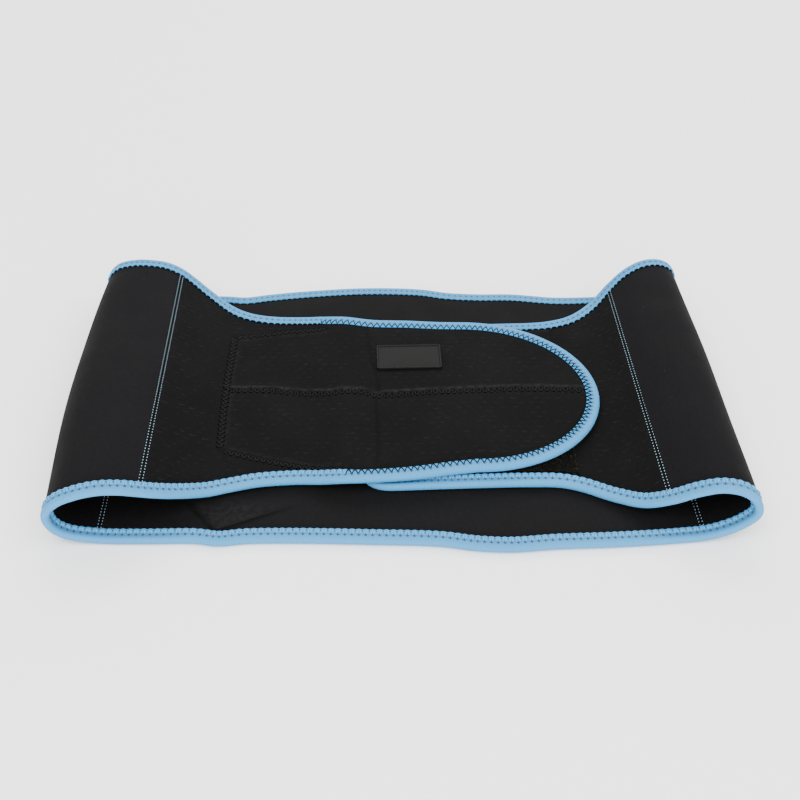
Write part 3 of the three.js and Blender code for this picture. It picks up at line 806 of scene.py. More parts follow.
def tape_profile(phase, swells):
    """Depths and heights of the tape's section, one row a ring, listed round from the upper cut
    edge over the outer edge to the lower cut edge and back inside: a face with a rounded lip, half
    an ellipse, the other face, and the inner side along the cloth. The tape keeps its thickness, so
    its cut edge stands off the cloth in each bead. swells has the beads' height on each face, one a
    ring."""
    lip = lip_depth(phase)[:, None]
    across = np.array([1, 0.975, 0.92, 0.82, 0.7, 0.55, 0.4, 0.2, 0])[None]
    face_depth = lerp(EDGE_ROUND, lip, across)
    rounded = np.interp(across, (0.9, 0.975, 1), (1, 0.7, 0.15))
    inner_depth = np.concatenate([lip - 0.15 * MM, 0 * lip + INSIDE_DEPTH], axis=1)
    faces, inner_sides = [], []
    for swell in swells:
        face = tape_height(face_depth, phase[:, None], swell[:, None])
        under = np.maximum(cloth_half(face_depth), face - LIP_THICKNESS)
        faces.append(under + (face - under) * rounded)
        inner = np.concatenate([under[:, :1], cloth_half(inner_depth[:, 1:])], axis=1)
        inner_sides.append(inner + CLOTH_CLEARANCE)
    angle = np.linspace(np.pi / 2, -np.pi / 2, 8)[None, 1:-1]
    round_depth = EDGE_ROUND * (1 - np.cos(angle)) + 0 * lip
    round_height = EDGE_HALF * np.sin(angle) + 0 * lip
    depth = [face_depth, round_depth, face_depth[:, ::-1], inner_depth, inner_depth[:, ::-1]]
    height = [faces[0], round_height, -faces[1][:, ::-1], -inner_sides[1], inner_sides[0][:, ::-1]]
    return np.concatenate(depth, axis=1), np.concatenate(height, axis=1)


def pressed_on_floor(points):
    """The same points, none of them lower than the floor that they are pressed on."""
    lowest = 0.02 * MM
    return np.concatenate([points[..., :2], np.maximum(points[..., 2:], lowest)], axis=-1)


@dataclass
class Trim:
    """The outline with a whole number of stitches round it: the phase of each of its points, the
    first and last stitch of black thread, and the height of the beads on the outer and inner face."""

    outline: Outline
    phase: np.ndarray
    stitches: int
    black: tuple
    swells: tuple


# Where the zigzag's thread is black: round the flap, from where the hook patch's lines meet the tape
BLACK_FROM_X = dict(near=-35 * MM, far=-46 * MM)


def black_stretch(outline, stitches):
    """First and last stitch of black thread."""
    x, y, z = outline.point[::RINGS_PER_STITCH].T
    past_left_fold = np.arange(stitches) > np.argmax(x < -0.9 * HALF_SPAN)
    on_flap = past_left_fold & (z > LEFT_LEVEL - MM) & (y < 0) & (x > BLACK_FROM_X["near"])
    first = int(np.argmax(on_flap))
    return first, first + int(np.argmax(x[first:] < BLACK_FROM_X["far"]))


def make_trim(tape):
    """The outline with its stitches. The beads are lower round the flap and along the far edge, most
    of all on its inner face. On the outer face they fade where the strip stands upright in a fold,
    which stretches them out."""
    stitches = int(round(closed_outline(600).length / tape.stitch_pitch))
    outline = closed_outline(stitches * RINGS_PER_STITCH)
    phase = np.arange(stitches * RINGS_PER_STITCH) / RINGS_PER_STITCH
    first, last = black_stretch(outline, stitches)
    on_flap = smooth_step(first - 1, first + 2, phase) * (1 - smooth_step(last - 2, last + 1, phase))
    even = tape.scallop * lerp(1, 0.3, on_flap)
    far = smooth_step(0, 60 * MM, outline.point[:, 1])
    lying = smooth_step(0.15, 0.75, np.abs(outline.up[:, 2]))
    inner = even * lerp(1, 0.4, far)
    outer = even * lerp(1, 0.7, far) * lerp(0.25, 1, lying)
    return Trim(outline, phase, stitches, (first, last), (outer, inner))


def make_tape(trim, scallop):
    """The tape round the whole outline: its section at each ring. Its maps are the distance along
    and in from the edge, and how much the beads swell there."""
    point, inward, up = (
        each[:, None] for each in (trim.outline.point, trim.outline.inward, trim.outline.up)
    )
    depth, height = tape_profile(trim.phase, trim.swells)
    points = pressed_on_floor(band_point(point, inward, up, depth, height))
    rows, columns = depth.shape
    along = np.arange(rows) * trim.outline.length / rows
    flat = np.stack([np.broadcast_to(along[:, None], depth.shape), np.sign(height) * depth], axis=-1)
    swell = np.where(height > 0, *(each[:, None] / scallop for each in trim.swells))
    swell = np.stack([swell, 0 * swell], axis=-1)
    return make_mesh("edge_tape", points, ring_quads(rows, columns, True), pattern=flat, swell=swell)


def tube(points, up, radius, sides):
    """Thread along a line of points: rings of the given radius square to the line, closed by
    flat ends."""
    forward = unit(np.gradient(points, axis=0))
    side = unit(np.cross(forward, up))
    over = np.cross(side, forward)
    angle = np.arange(sides) * 2 * np.pi / sides
    ring = side[:, None] * np.cos(angle)[:, None] + over[:, None] * np.sin(angle)[:, None]
    return points[:, None] + radius * ring


THREAD_ROUND = 1 * MM  # how far a thread's map runs in one turn round it


def tube_mesh(name, tubes):
    """One mesh from several tubes of threads, with the distance along and round each as its map."""
    all_points, all_faces, all_uv, count = [], [], [], 0
    for rings in tubes:
        rows, sides = rings.shape[:2]
        step = np.linalg.norm(np.diff(rings.mean(1), axis=0), axis=1)
        along = np.concatenate([[0], np.cumsum(step)])
        centres = rings[[0, -1]].mean(1)
        turn = np.broadcast_to(np.arange(sides) / sides * THREAD_ROUND, (rows, sides))
        uv = np.stack([np.broadcast_to(along[:, None], (rows, sides)), turn], axis=-1)
        all_points.append(np.concatenate([rings.reshape(-1, 3), centres]))
        all_faces.append(capped_quads(rows, sides) + count)
        all_uv.append(np.concatenate([uv.reshape(-1, 2), [(0, 0), (along[-1], 0)]]))
        count += rows * sides + 2
    uv = np.concatenate(all_uv)
    return make_mesh(name, np.concatenate(all_points), np.concatenate(all_faces), pattern=uv)


STEPS_PER_STITCH = 8


def tape_stitches(trim, first, last, face, thread):
    """Zigzag thread on one face of the tape between two counts of stitches: the depth follows the
    triangle wave, and the height follows the tape's face and dips into each needle hole."""
    outline = trim.outline
    count = len(outline.point)
    phase = np.arange(first * STEPS_PER_STITCH, last * STEPS_PER_STITCH + 1) / STEPS_PER_STITCH
    place = phase * RINGS_PER_STITCH
    low = np.floor(place).astype(int)
    share = (place - low)[:, None]
    swell = trim.swells[0 if face > 0 else 1][:, None]
    point, inward, up, swell = (
        lerp(values[low % count], values[(low + 1) % count], share)
        for values in (outline.point, outline.inward, outline.up, swell)
    )
    wave = zigzag(phase)
    depth = lerp(NEEDLE_DEPTH, LIP_NEEDLE_DEPTH + 0.35 * MM, wave)
    near_hole = np.minimum(wave, 1 - wave) * 2
    lift = thread * lerp(-0.5, 0.42, smooth_step(0, 0.3, near_hole))
    height = tape_height(depth, phase, swell[:, 0]) + lift
    line = band_point(point, inward, face * up, depth, height)
    return pressed_on_floor(tube(line, face * up, thread / 2, 5))


def flap_surface(x, y, settings):
    """Outer face of the left front panel over places in the strip's own frame, and its normals. Its
    height depends on x alone, apart from the relief."""
    middle = middle_line(np.linspace(LEFT_TOP_SEAM, LAST, 400))
    level = np.interp(x, middle[:, 0], middle[:, 2])
    slope = np.interp(x, middle[:, 0], np.gradient(middle[:, 2], middle[:, 0]))
    up = unit(np.stack([-slope, 0 * x, 0 * x + 1], axis=-1))
    inside = np.full_like(x, 30 * MM)  # well away from the tape
    relief = front_relief(x, y, inside, settings.tape.stitch_pitch, settings.cloth.pucker)
    base = np.stack([x, y, level], axis=-1)
    return base + up * (HALF_CLOTH + relief)[..., None], up


def patch_stitches(line, settings):
    """Zigzag thread along a stitched line on the flap: the line plus a triangle wave across it."""
    low, high = line_span(line)
    pitch = settings.tape.stitch_pitch
    first, last = int(np.ceil(low / pitch)), int(np.floor(high / pitch))
    phase = np.arange(first * STEPS_PER_STITCH, last * STEPS_PER_STITCH + 1) / STEPS_PER_STITCH
    run = phase * pitch
    wave = zigzag(phase)
    other = line_value(line, run) + settings.seams.patch_zigzag * (wave - 0.5)
    x, y = (run, other) if line["run"] == 0 else (other, run)
    point, up = flap_surface(x, y, settings)
    near_hole = np.minimum(wave, 1 - wave) * 2
    lift = settings.tape.thread * lerp(-0.45, 0.4, smooth_step(0, 0.35, near_hole))
    if line is MIDDLE_LINE:
        lift = lift - 0.6 * settings.seams.patch_thread * smooth_step(0.2, 0.6, wave)
    return tube(point + up * lift[:, None], up, settings.seams.patch_thread / 2, 6)


def make_copies(name, points, faces):
    """One mesh of many small pieces with the same faces: a row of points for each of them."""
    every = faces[None] + (np.arange(len(points)) * points.shape[1])[:, None, None]
    flat = points.reshape(-1, 3)
    return make_mesh(name, flat, every.reshape(-1, 4), pattern=flat[:, :2])


def make_needle_hole_shade(lines, settings):
    """Painted shade in the needle holes at the turns of the patch's zigzag: near-black spots, along the
    middle line on its near side alone. Each is a low six-sided dome, a little longer along the line
    than across it, and those of the middle line taper away from it."""
    pitch, half_zigzag = settings.tape.stitch_pitch, settings.seams.patch_zigzag / 2
    corner = np.arange(6)
    angle = corner * np.pi / 3
    points = []
    for line in lines:
        low, high = line_span(line)
        in_middle = line is MIDDLE_LINE
        wide, deep = (1.25 * MM, 1.2 * MM) if in_middle else (1.0 * MM, 0.75 * MM)
        taper = np.where(np.sin(angle) < -0.1, 0.55, 1.0) if in_middle else 1.0
        for start, side in ((0, -1),) if in_middle else ((0.5, 1), (0, -1)):
            run = (np.arange(np.ceil(low / pitch), np.floor(high / pitch)) + start) * pitch
            along = run[:, None] + wide * taper * np.cos(angle)
            across = line_value(line, run)[:, None] + side * half_zigzag + deep * np.sin(angle)
            x, y = (along, across) if line["run"] == 0 else (across, along)
            rim, up = flap_surface(x, y, settings)
            centre = rim.mean(1, keepdims=True) + 0.12 * MM * up[:, :1]
            points.append(np.concatenate([rim - 0.25 * MM * up, rim + 0.06 * MM * up, centre], axis=1))
    points = np.concatenate(points)
    after = (corner + 1) % 6
    top = np.full(6, 12)
    wall = np.stack([corner, after, after + 6, corner + 6], axis=1)
    cap = np.stack([corner + 6, after + 6, top, top], axis=1)
    return make_copies("patch_needle_holes", points, np.concatenate([wall, cap]))


def lozenge_template():
    """One short stitch of half length and half width 1: a dome of three rings, closed below."""
    angle = np.arange(8) * np.pi / 4
    rings = [(1.0, -0.3), (0.9, 0.45), (0.5, 0.9)]
    points = [(r * np.cos(a), r * np.sin(a), h) for r, h in rings for a in angle]
    points += [(0, 0, -0.3), (0, 0, 1.0)]
    return np.array(points), capped_quads(len(rings), len(angle))


def seam_row(seam, offset, face, settings):
    """Centres, directions and normals of one row of stitches beside a seam, from tape to tape."""
    stations = stations_at([place_at(arc_at(seam) + offset)])
    length = np.linalg.norm(stations.far - stations.near) - 2 * TAPE_FACE
    count = int(length / settings.stitch_pitch)
    share = (np.arange(count) + 0.5) / count
    height = np.full((1, count), face * (HALF_CLOTH + 0.02 * MM))
    centre = cloth_point(stations, np.full(count, TAPE_FACE)[None], share[None], height)[0]
    along = unit(np.gradient(centre, axis=0))
    up = face * unit(lerp(stations.near_up, stations.far_up, share[:, None]))
    return centre, along, up


def make_seam_stitches(settings):
    """Two rows of stitches beside each seam on both faces of the cloth."""
    template, faces = lozenge_template()
    length, width = settings.stitch_length / 2, settings.stitch_width / 2
    points = []
    for seam in SEAMS:
        for side in (-1, 1):
            for face in (-1, 1):
                centre, along, up = seam_row(seam, side * settings.row_gap / 2, face, settings)
                across = np.cross(up, along)
                axes = np.stack([along * length, across * width, up * width], axis=1)
                points.append(centre[:, None] + template @ axes)
    return make_copies("seam_stitches", np.concatenate(points), faces)


def hook_taper(place):
    """How much further in the hook fabric starts over its first sections."""
    left = (HOOK_FULL_WIDTH - place) / (HOOK_FULL_WIDTH - HOOK_FIRST)
    return HOOK_TAPER * np.maximum(left, 0) ** 1.5


def make_patch(name, stations, depth, face, thickness, roughness, columns=48, merge=False):
    """Sheet of fastener fabric on one face of the cloth: even, with a fine uneven nap on its free
    face made of crossed sine waves."""
    share = np.linspace(0, 1, columns)
    shape = (len(stations.near), columns)
    depths = np.broadcast_to(depth[:, None], shape)
    low = HALF_CLOTH + 0.04 * MM
    cloth_side = cloth_point(stations, depths, share[None], np.full(shape, face * low))
    nap = roughness * slow_waves(cloth_side[..., 0] * 7, cloth_side[..., 1] * 7, 31 * MM)
    rim = smooth_step(0, 0.02, np.minimum(share, 1 - share))[None]
    height = low + (thickness - 0.1 * MM) * lerp(0.55, 1, rim) + nap
    free_side = cloth_point(stations, depths, share[None], face * height)
    outer, inner = (free_side, cloth_side) if face > 0 else (cloth_side, free_side)
    return sheet(name, outer, inner, merge, pattern=cloth_side[..., :2])


# Where the loop fabric shows past the flap's tip, along X and along Y, and how close its loops are
PILE_X = (60 * MM, 103.5 * MM)
PILE_Y = (-82 * MM, -45 * MM)
PILE_SPACING = 0.85 * MM
PILE_UNDER_FLAP = 6 * MM  # how far the loops go on under the flap
PILE_THREAD = (0.09 * MM, 0.13 * MM)  # half the width of a loop's thread, and its height


def loop_pile(settings):
    """Small loops of the fastener's pile where the loop patch shows past the flap: half rings of
    three-sided thread on a jittered grid, each turned its own way."""
    rng = np.random.default_rng(7)
    spacing = PILE_SPACING
    xs, ys = np.meshgrid(np.arange(*PILE_X, spacing), np.arange(*PILE_Y, spacing))
    foot = np.stack([xs.ravel(), ys.ravel()], axis=1)
    foot = foot + rng.uniform(-0.5, 0.5, foot.shape) * spacing
    stations = stations_at(np.linspace(0, LOOP_LAST, 200))
    lowest = np.interp(foot[:, 0], stations.near[:, 0], stations.near[:, 1]) + TAPE_FACE + PATCH_MARGIN
    reach = (foot[:, 0] - TIP_START * HALF_SPAN) / TIP_LENGTH
    flap_edge = -half_width(-1) * np.sqrt(np.clip(1 - reach ** 2, 0, 1)) - 0.9 * LEAN
    foot = foot[(foot[:, 1] > lowest) & (foot[:, 1] < flap_edge + PILE_UNDER_FLAP)]
    count = len(foot)
    turn = rng.uniform(0, 2 * np.pi, count)
    size = settings.pile * rng.uniform(0.7, 1.2, count)
    angle = np.linspace(0, np.pi, 5)
    lean = rng.uniform(-0.5, 0.5, (count, 2))
    top = RIGHT_LEVEL + HALF_CLOTH + LOOP_THICKNESS - 0.15 * MM
    flat = np.cos(angle)[None] * size[:, None] * 0.6
    rise = np.sin(angle)[None] * size[:, None]
    x = foot[:, :1] + flat * np.cos(turn)[:, None] + rise * lean[:, :1]
    y = foot[:, 1:] + flat * np.sin(turn)[:, None] + rise * lean[:, 1:]
    line = np.stack([x, y, top + rise], axis=-1)
    across = np.stack([-np.sin(turn), np.cos(turn), 0 * turn], axis=1)[:, None] * PILE_THREAD[0]
    over = np.array((0, 0, PILE_THREAD[1]))
    rings = np.stack([line + across, line - across, line + over], axis=2)
    return make_copies("loop_pile", rings.reshape(count, -1, 3), ring_quads(len(angle), 3, False))


BADGE_SOFT = 0.18 * MM  # how softly the badge's edges are rounded
PER_CORNER = 8


def rounded_ring(inset, height):
    """Outline of the badge, inset by a distance: four quarter circles joined by straight sides."""
    corner = max(BADGE_CORNER - inset, 0.25 * MM)
    x, y = BADGE_LENGTH / 2 - inset - corner, BADGE_WIDTH / 2 - inset - corner
    rings = []
    for quarter, (cx, cy) in enumerate(((x, y), (-x, y), (-x, -y), (x, -y))):
        angle = np.linspace(0, np.pi / 2, PER_CORNER) + quarter * np.pi / 2
        up = np.full(PER_CORNER, height)
        rings.append(np.stack([cx + corner * np.cos(angle), cy + corner * np.sin(angle), up], axis=1))
    return np.concatenate(rings)


def make_badge():
    """Moulded badge: rings of its outline at insets and heights up its wall, over the rounded rim
    and down to the sunk face, which closes at its middle."""
    soft, rim = BADGE_SOFT, BADGE_RIM
    top, face = BADGE_THICKNESS, BADGE_THICKNESS - BADGE_RECESS
    foot, middle = -FIT + 0.02 * MM, face + 0.05 * MM
    rows = [
        (0.1 * MM, foot), (0, 0.2 * MM), (0, top - 1.6 * soft), (0.4 * soft, top - 0.5 * soft),
        (1.5 * soft, top), (rim - soft, top), (rim, top - 0.6 * soft),
        (rim + 0.5 * soft, face + 0.8 * soft), (rim + 1.6 * soft, face), (rim + 5 * soft, middle),
    ]
    rings = [rounded_ring(inset, height) for inset, height in rows]
    points = np.concatenate([*rings, [(0, 0, foot)], [(0, 0, middle)]]) + LOCAL_BADGE
    faces = capped_quads(len(rings), len(rings[0]))
    return make_mesh("badge_plate", points, faces, pattern=points[:, :2])


class NodeTree:
    """Short calls that add nodes to a material or a node group and join them."""

    def __init__(self, tree):
        self.tree = tree

    def node(self, kind, **settings):
        """New node of a kind, with its settings."""
        made = self.tree.nodes.new(kind)
        for key, value in settings.items():
            setattr(made, key, value)
        return made

    def feed(self, socket, value):
        """Link an output to a socket, or set the socket's constant."""
        if isinstance(value, bpy.types.NodeSocket):
            self.tree.links.new(value, socket)
        elif value is not None:
            socket.default_value = value

    def math(self, operation, a, b=None):
        """Result of an operation on one or two values."""
        made = self.node("ShaderNodeMath", operation=operation)
        for socket, value in zip(made.inputs, (a, b)):
            self.feed(socket, value)
        return made.outputs[0]

    def times(self, a, b):
        """Product of two values."""
        return self.math("MULTIPLY", a, b)

    def mix(self, share, a, b):
        """Colour a share of the way from a to b."""
        made = self.node("ShaderNodeMix", data_type="RGBA")
        self.feed(made.inputs["Factor"], share)
        self.feed(made.inputs["A"], a)
        self.feed(made.inputs["B"], b)
        return made.outputs["Result"]

    def step(self, value, low, high, out_low=0.0, out_high=1.0):
        """Smooth step of a value between low and high, from out_low to out_high."""
        made = self.node("ShaderNodeMapRange", interpolation_type="SMOOTHSTEP")
        names = ("Value", "From Min", "From Max", "To Min", "To Max")
        for name, number in zip(names, (value, low, high, out_low, out_high)):
            self.feed(made.inputs[name], number)
        return made.outputs["Result"]

    def noise(self, vector, scale, detail=3.0, roughness=0.55):
        """Fractal noise from 0 to 1."""
        made = self.node("ShaderNodeTexNoise")
        self.feed(made.inputs["Vector"], vector)
        self.feed(made.inputs["Scale"], scale)
        self.feed(made.inputs["Detail"], detail)
        self.feed(made.inputs["Roughness"], roughness)
        return made.outputs["Fac"]

    def parts(self, vector):
        """The three coordinates of a vector."""
        made = self.node("ShaderNodeSeparateXYZ")
        self.feed(made.inputs[0], vector)
        return made.outputs

    def group(self, tree, **inputs):
        """Outputs of a node group that is fed by name."""
        made = self.node("ShaderNodeGroup", node_tree=tree)
        for name, value in inputs.items():
            self.feed(made.inputs[name], value)
        return made.outputs

    def map(self, name):
        """A map of the piece."""
        return self.node("ShaderNodeUVMap", uv_map=name).outputs["UV"]

    def place(self):
        """The place on the piece in its own frame, in metres."""
        return self.node("ShaderNodeTexCoord").outputs["Object"]


def new_group(name, inputs, outputs):
    """Empty node group with named inputs and outputs, and the calls that fill it."""
    tree = bpy.data.node_groups.new(name, "ShaderNodeTree")
    for label, kind, default in inputs:
        socket = tree.interface.new_socket(label, in_out="INPUT", socket_type=kind)
        if default is not None:
            socket.default_value = default
    for label, kind in outputs:
        tree.interface.new_socket(label, in_out="OUTPUT", socket_type=kind)
    t = NodeTree(tree)
    return t, t.node("NodeGroupInput").outputs, t.node("NodeGroupOutput").inputs


def shared_group(name, build):
    """The node group by that name, built when it is first asked for."""
    return bpy.data.node_groups.get(name) or build(name)


def knit_group(name):
    """Fine jersey: columns of small V shapes. The height is a half, plus a quarter of the sine along
    the column, bent by the distance from the column's middle, less a quarter of the cosine of one
    turn times that distance."""
    t, given, out = new_group(
        name,
        [("Vector", "NodeSocketVector", None), ("Column", "NodeSocketFloat", 0.9 * MM)],
        [("Height", "NodeSocketFloat")],
    )
    x, y, _ = t.parts(given["Vector"])
    across = t.math("DIVIDE", x, given["Column"])
    column = t.math("ABSOLUTE", t.math("SUBTRACT", t.math("FRACT", across), 0.5))
    bent = t.math("ADD", t.math("DIVIDE", y, t.times(given["Column"], 0.8)), column)
    course = t.math("SINE", t.times(bent, 2 * np.pi))
    wale = t.math("COSINE", t.times(column, 2 * np.pi))
    height = t.math("ADD", t.times(course, 0.25), t.times(wale, -0.25))
    t.feed(out["Height"], t.math("ADD", height, 0.5))
    return t.tree


def dimple_group(name):
    """Embossed dimples: in each cell of a staggered grid, the lower part of a small ring, so that it
    looks like a shallow curved dent. Mask is 1 in the dent."""
    t, given, out = new_group(
        name,
        [("Vector", "NodeSocketVector", None), ("Pitch", "NodeSocketFloat", 7 * MM),
         ("Row", "NodeSocketFloat", 4.4 * MM)],
        [("Mask", "NodeSocketFloat")],
    )
    x, y, _ = t.parts(given["Vector"])
    row = t.math("DIVIDE", y, given["Row"])
    odd = t.times(t.math("FLOOR", row), 0.5)
    across = t.math("ADD", t.math("DIVIDE", x, given["Pitch"]), odd)
    cell_x = t.times(t.math("SUBTRACT", t.math("FRACT", across), 0.5), given["Pitch"])
    cell_y = t.times(t.math("SUBTRACT", t.math("FRACT", row), 0.5), given["Row"])
    wobble = t.noise(given["Vector"], 160.0, 1.0)
    shift = t.times(t.math("SUBTRACT", wobble, 0.5), 5 * MM)
    dx = t.math("ADD", cell_x, shift)
    dy = t.math("ADD", t.math("SUBTRACT", cell_y, 0.7 * MM), t.times(shift, 0.6))
    distance = t.math("SQRT", t.math("ADD", t.times(dx, dx), t.times(dy, dy)))
    ring = t.math("ABSOLUTE", t.math("SUBTRACT", distance, 1.6 * MM))
    on_ring = t.step(ring, 0.1 * MM, 0.75 * MM, 1.0, 0.0)
    lower = t.step(dy, -1.2 * MM, -0.2 * MM, 1.0, 0.0)
    patchy = t.step(t.noise(given["Vector"], 95.0, 2.0), 0.42, 0.62, 0.0, 1.0)
    t.feed(out["Mask"], t.times(t.times(on_ring, lower), patchy))
    return t.tree


def dust_group(name):
    """Uneven fading and the few pale specks of lint that black cloth picks up."""
    t, given, out = new_group(
        name,
        [("Vector", "NodeSocketVector", None)],
        [("Cloud", "NodeSocketFloat"), ("Lint", "NodeSocketFloat"), ("Grain", "NodeSocketFloat")],
    )
    cloud = t.noise(given["Vector"], 22.0, 4.0, 0.6)
    grain = t.noise(given["Vector"], 900.0, 2.0, 0.7)
    cells = t.node("ShaderNodeTexVoronoi", feature="F1")
    t.feed(cells.inputs["Vector"], given["Vector"])
    t.feed(cells.inputs["Scale"], 120.0)
    t.feed(cells.inputs["Randomness"], 1.0)
    near = t.step(cells.outputs["Distance"], 0.025, 0.05, 1.0, 0.0)
    chance = t.step(t.parts(cells.outputs["Color"])[0], 0.8, 0.86)
    t.feed(out["Cloud"], t.step(cloud, 0.35, 0.65))
    t.feed(out["Lint"], t.times(near, chance))
    t.feed(out["Grain"], grain)
    return t.tree


def new_material(name, roughness, sheen=0.0, sheen_roughness=0.5, specular=0.5):
    """Material with one Principled shader whose constant values are set on its own sockets."""
    material = bpy.data.materials.new(name)
    material.use_nodes = True
    t = NodeTree(material.node_tree)
    shader = material.node_tree.nodes["Principled BSDF"]
    shader.inputs["Roughness"].default_value = roughness
    shader.inputs["Sheen Weight"].default_value = sheen
    shader.inputs["Sheen Roughness"].default_value = sheen_roughness
    shader.inputs["Specular IOR Level"].default_value = specular
    return material, t, shader


def scaled(color, factor, lift=0.0):
    """A colour with its red, green and blue times a factor, and lifted, but none over 1."""
    return tuple(min(1.0, factor * part + lift) for part in color[:3]) + (1.0,)


def bump(t, shader, *layers):
    """Bump nodes in a chain: each layer is a height, a distance in metres and a strength."""
    normal = None
    for height, distance, strength in layers:
        made = t.node("ShaderNodeBump")
        t.feed(made.inputs["Height"], height)
        t.feed(made.inputs["Distance"], distance)
        t.feed(made.inputs["Strength"], strength)
        t.feed(made.inputs["Normal"], normal)
        normal = made.outputs["Normal"]
    t.feed(shader.inputs["Normal"], normal)


# Colours that are no settings: painted highlight, lint, painted shade in the tape's creases and needle
# holes
PAINTED_HIGHLIGHT_COLOR = (0.014, 0.0136, 0.0138, 1.0)
LINT_COLOR = (0.05, 0.05, 0.052, 1.0)
CREASE_SHADE_COLOR = (0.015, 0.07, 0.15, 1.0)
TAPE_HOLE_SHADE_COLOR = (0.012, 0.04, 0.08, 1.0)

# The patch's thread and painted needle hole shade, both fasteners with their pile's specks, and the
# paper
PATCH_THREAD_COLOR = (0.0095, 0.0093, 0.0095, 1.0)
NEEDLE_HOLE_SHADE_COLOR = (0.0004, 0.0004, 0.0004, 1.0)
HOOK_COLORS = ((0.014, 0.014, 0.014, 1.0), (0.05, 0.05, 0.05, 1.0))
LOOP_COLORS = ((0.0022, 0.0021, 0.0018, 1.0), (0.075, 0.069, 0.034, 1.0))
PAPER_GRAIN_COLOR = (0.8, 0.8, 0.8, 1.0)


def cloth_material(name, color, dimpled, settings):
    """Black jersey over neoprene: knit bump, cloudy fading, nap, lint, the dimples where it is embossed
    with a painted highlight, and the painted light map's painted highlight and painted shade."""
    material, t, shader = new_material(name, 0.78, sheen=0.005, sheen_roughness=0.5, specular=0.045)
    flat = t.map("pattern")
    knit = t.group(shared_group("Jersey Knit", knit_group), Vector=flat, Column=settings.knit)["Height"]
    dust = t.group(shared_group("Fading And Lint", dust_group), Vector=flat)
    base = tuple(color)
    pale = scaled(color, 1.35, 0.0008)
    shade = t.mix(t.times(dust["Cloud"], 0.5), base, pale)
    shade = t.mix(t.times(knit, 0.25), shade, scaled(color, 0.6))
    layers = [(knit, 0.12 * MM, 0.5), (dust["Grain"], 0.05 * MM, 0.35)]
    if dimpled:
        mask = t.group(shared_group("Embossed Dimples", dimple_group), Vector=flat,
                       Pitch=settings.dimple_pitch, Row=settings.dimple_row)["Mask"]
        # Each dimple is painted paler than the cloth: a painted highlight on the dent
        shade = t.mix(t.times(mask, 0.65), shade, scaled(color, 3.5, 0.001))
        layers.insert(0, (t.math("SUBTRACT", 1.0, mask), settings.dimple_depth, 1.0))
    nap = t.noise(flat, 380.0, 4.0, 0.7)
    shade = t.mix(t.step(nap, 0.4, 0.72, 0.0, 0.5), shade, pale)
    # Painted highlight on raised cloth and painted shade along the stitched lines, creases and buckle
    painted_highlight, sunk, _ = t.parts(t.map("wear"))
    clumps = t.step(t.noise(flat, 260.0, 3.0, 0.7), 0.4, 0.62, 0.15, 1.0)
    shade = t.mix(t.times(painted_highlight, clumps), shade, PAINTED_HIGHLIGHT_COLOR)
    shade = t.mix(sunk, shade, scaled(color, 0.3))
    shade = t.mix(t.times(dust["Lint"], 0.5), shade, LINT_COLOR)
    t.feed(shader.inputs["Base Color"], shade)
    rough = t.math("ADD", 0.72, t.times(dust["Cloud"], 0.14))
    t.feed(shader.inputs["Roughness"], rough)
    bump(t, shader, *layers)
    return material


def tape_material(settings, pitch):
    """Light blue elastic: fine ribs across the tape, a faint mottled dye, and painted shade: in a
    needle hole at each outer turn of the zigzag, along the row of holes, in the creases between the
    beads and at the cut edge."""
    material, t, shader = new_material("Blue Elastic Tape", 0.7, sheen=0.06, specular=0.3)
    flat = t.map("pattern")
    along, across, _ = t.parts(flat)
    wobble = t.times(t.math("SUBTRACT", t.noise(flat, 500.0, 2.0), 0.5), 1.4)
    turn = t.math("ADD", t.times(along, 2 * np.pi / settings.rib), wobble)
    rib = t.times(t.math("ADD", t.math("SINE", turn), 1.0), 0.5)
    mottle = t.step(t.noise(flat, 260.0, 3.0, 0.65), 0.3, 0.7)
    color = tuple(settings.color)
    deep, pale = scaled(color, 0.66), scaled(color, 1.12)
    shade = t.mix(t.times(mottle, 0.55), color, pale)
    shade = t.mix(t.times(t.math("SUBTRACT", 1.0, rib), 0.45), shade, deep)

    depth = t.math("ABSOLUTE", across)
    stitches = t.math("DIVIDE", along, pitch)
    outer_turn = t.math("FRACT", t.math("ADD", stitches, 0.5))
    along_hole = t.times(t.math("SUBTRACT", outer_turn, 0.5), pitch)
    across_hole = t.math("SUBTRACT", depth, NEEDLE_DEPTH)
    longer = t.times(across_hole, 0.6)
    square = t.math("ADD", t.times(along_hole, along_hole), t.times(longer, longer))
    hole = t.step(t.math("SQRT", square), 0.3 * MM, 1.05 * MM, 1.0, 0.0)

    inner_turn = t.math("ABSOLUTE", t.math("SUBTRACT", t.math("FRACT", stitches), 0.5))
    beside = t.step(t.times(inner_turn, pitch), 0.1 * MM, 0.8 * MM, 1.0, 0.0)
    across_crease = t.math("SUBTRACT", depth, LIP_NEEDLE_DEPTH)
    crease = t.times(beside, t.step(across_crease, -2.6 * MM, -1.2 * MM))
    crease = t.times(crease, t.parts(t.map("swell"))[0])

    from_row = t.math("ABSOLUTE", t.math("SUBTRACT", across_hole, 0.2 * MM))
    row = t.step(from_row, 0.2 * MM, 1.3 * MM, 1.0, 0.0)
    cut = t.step(depth, TAPE_FACE - 0.7 * MM, TAPE_FACE + 0.1 * MM)
    # Painted shade along the row of holes, in the creases, in each needle hole and at the cut edge
    shade = t.mix(t.times(row, 0.6), shade, deep)
    shade = t.mix(t.times(crease, 0.6), shade, CREASE_SHADE_COLOR)
    shade = t.mix(t.times(hole, 0.9), shade, TAPE_HOLE_SHADE_COLOR)
    shade = t.mix(t.times(cut, 0.3), shade, deep)
    t.feed(shader.inputs["Base Color"], shade)
    t.feed(shader.inputs["Roughness"], t.math("ADD", 0.62, t.times(mottle, 0.15)))
    bump(t, shader, (t.math("SUBTRACT", rib, hole), 0.14 * MM, 0.7), (mottle, 0.06 * MM, 0.4))
    return material


TWIST_LENGTH = 0.55 * MM  # length of one turn of a thread's twist


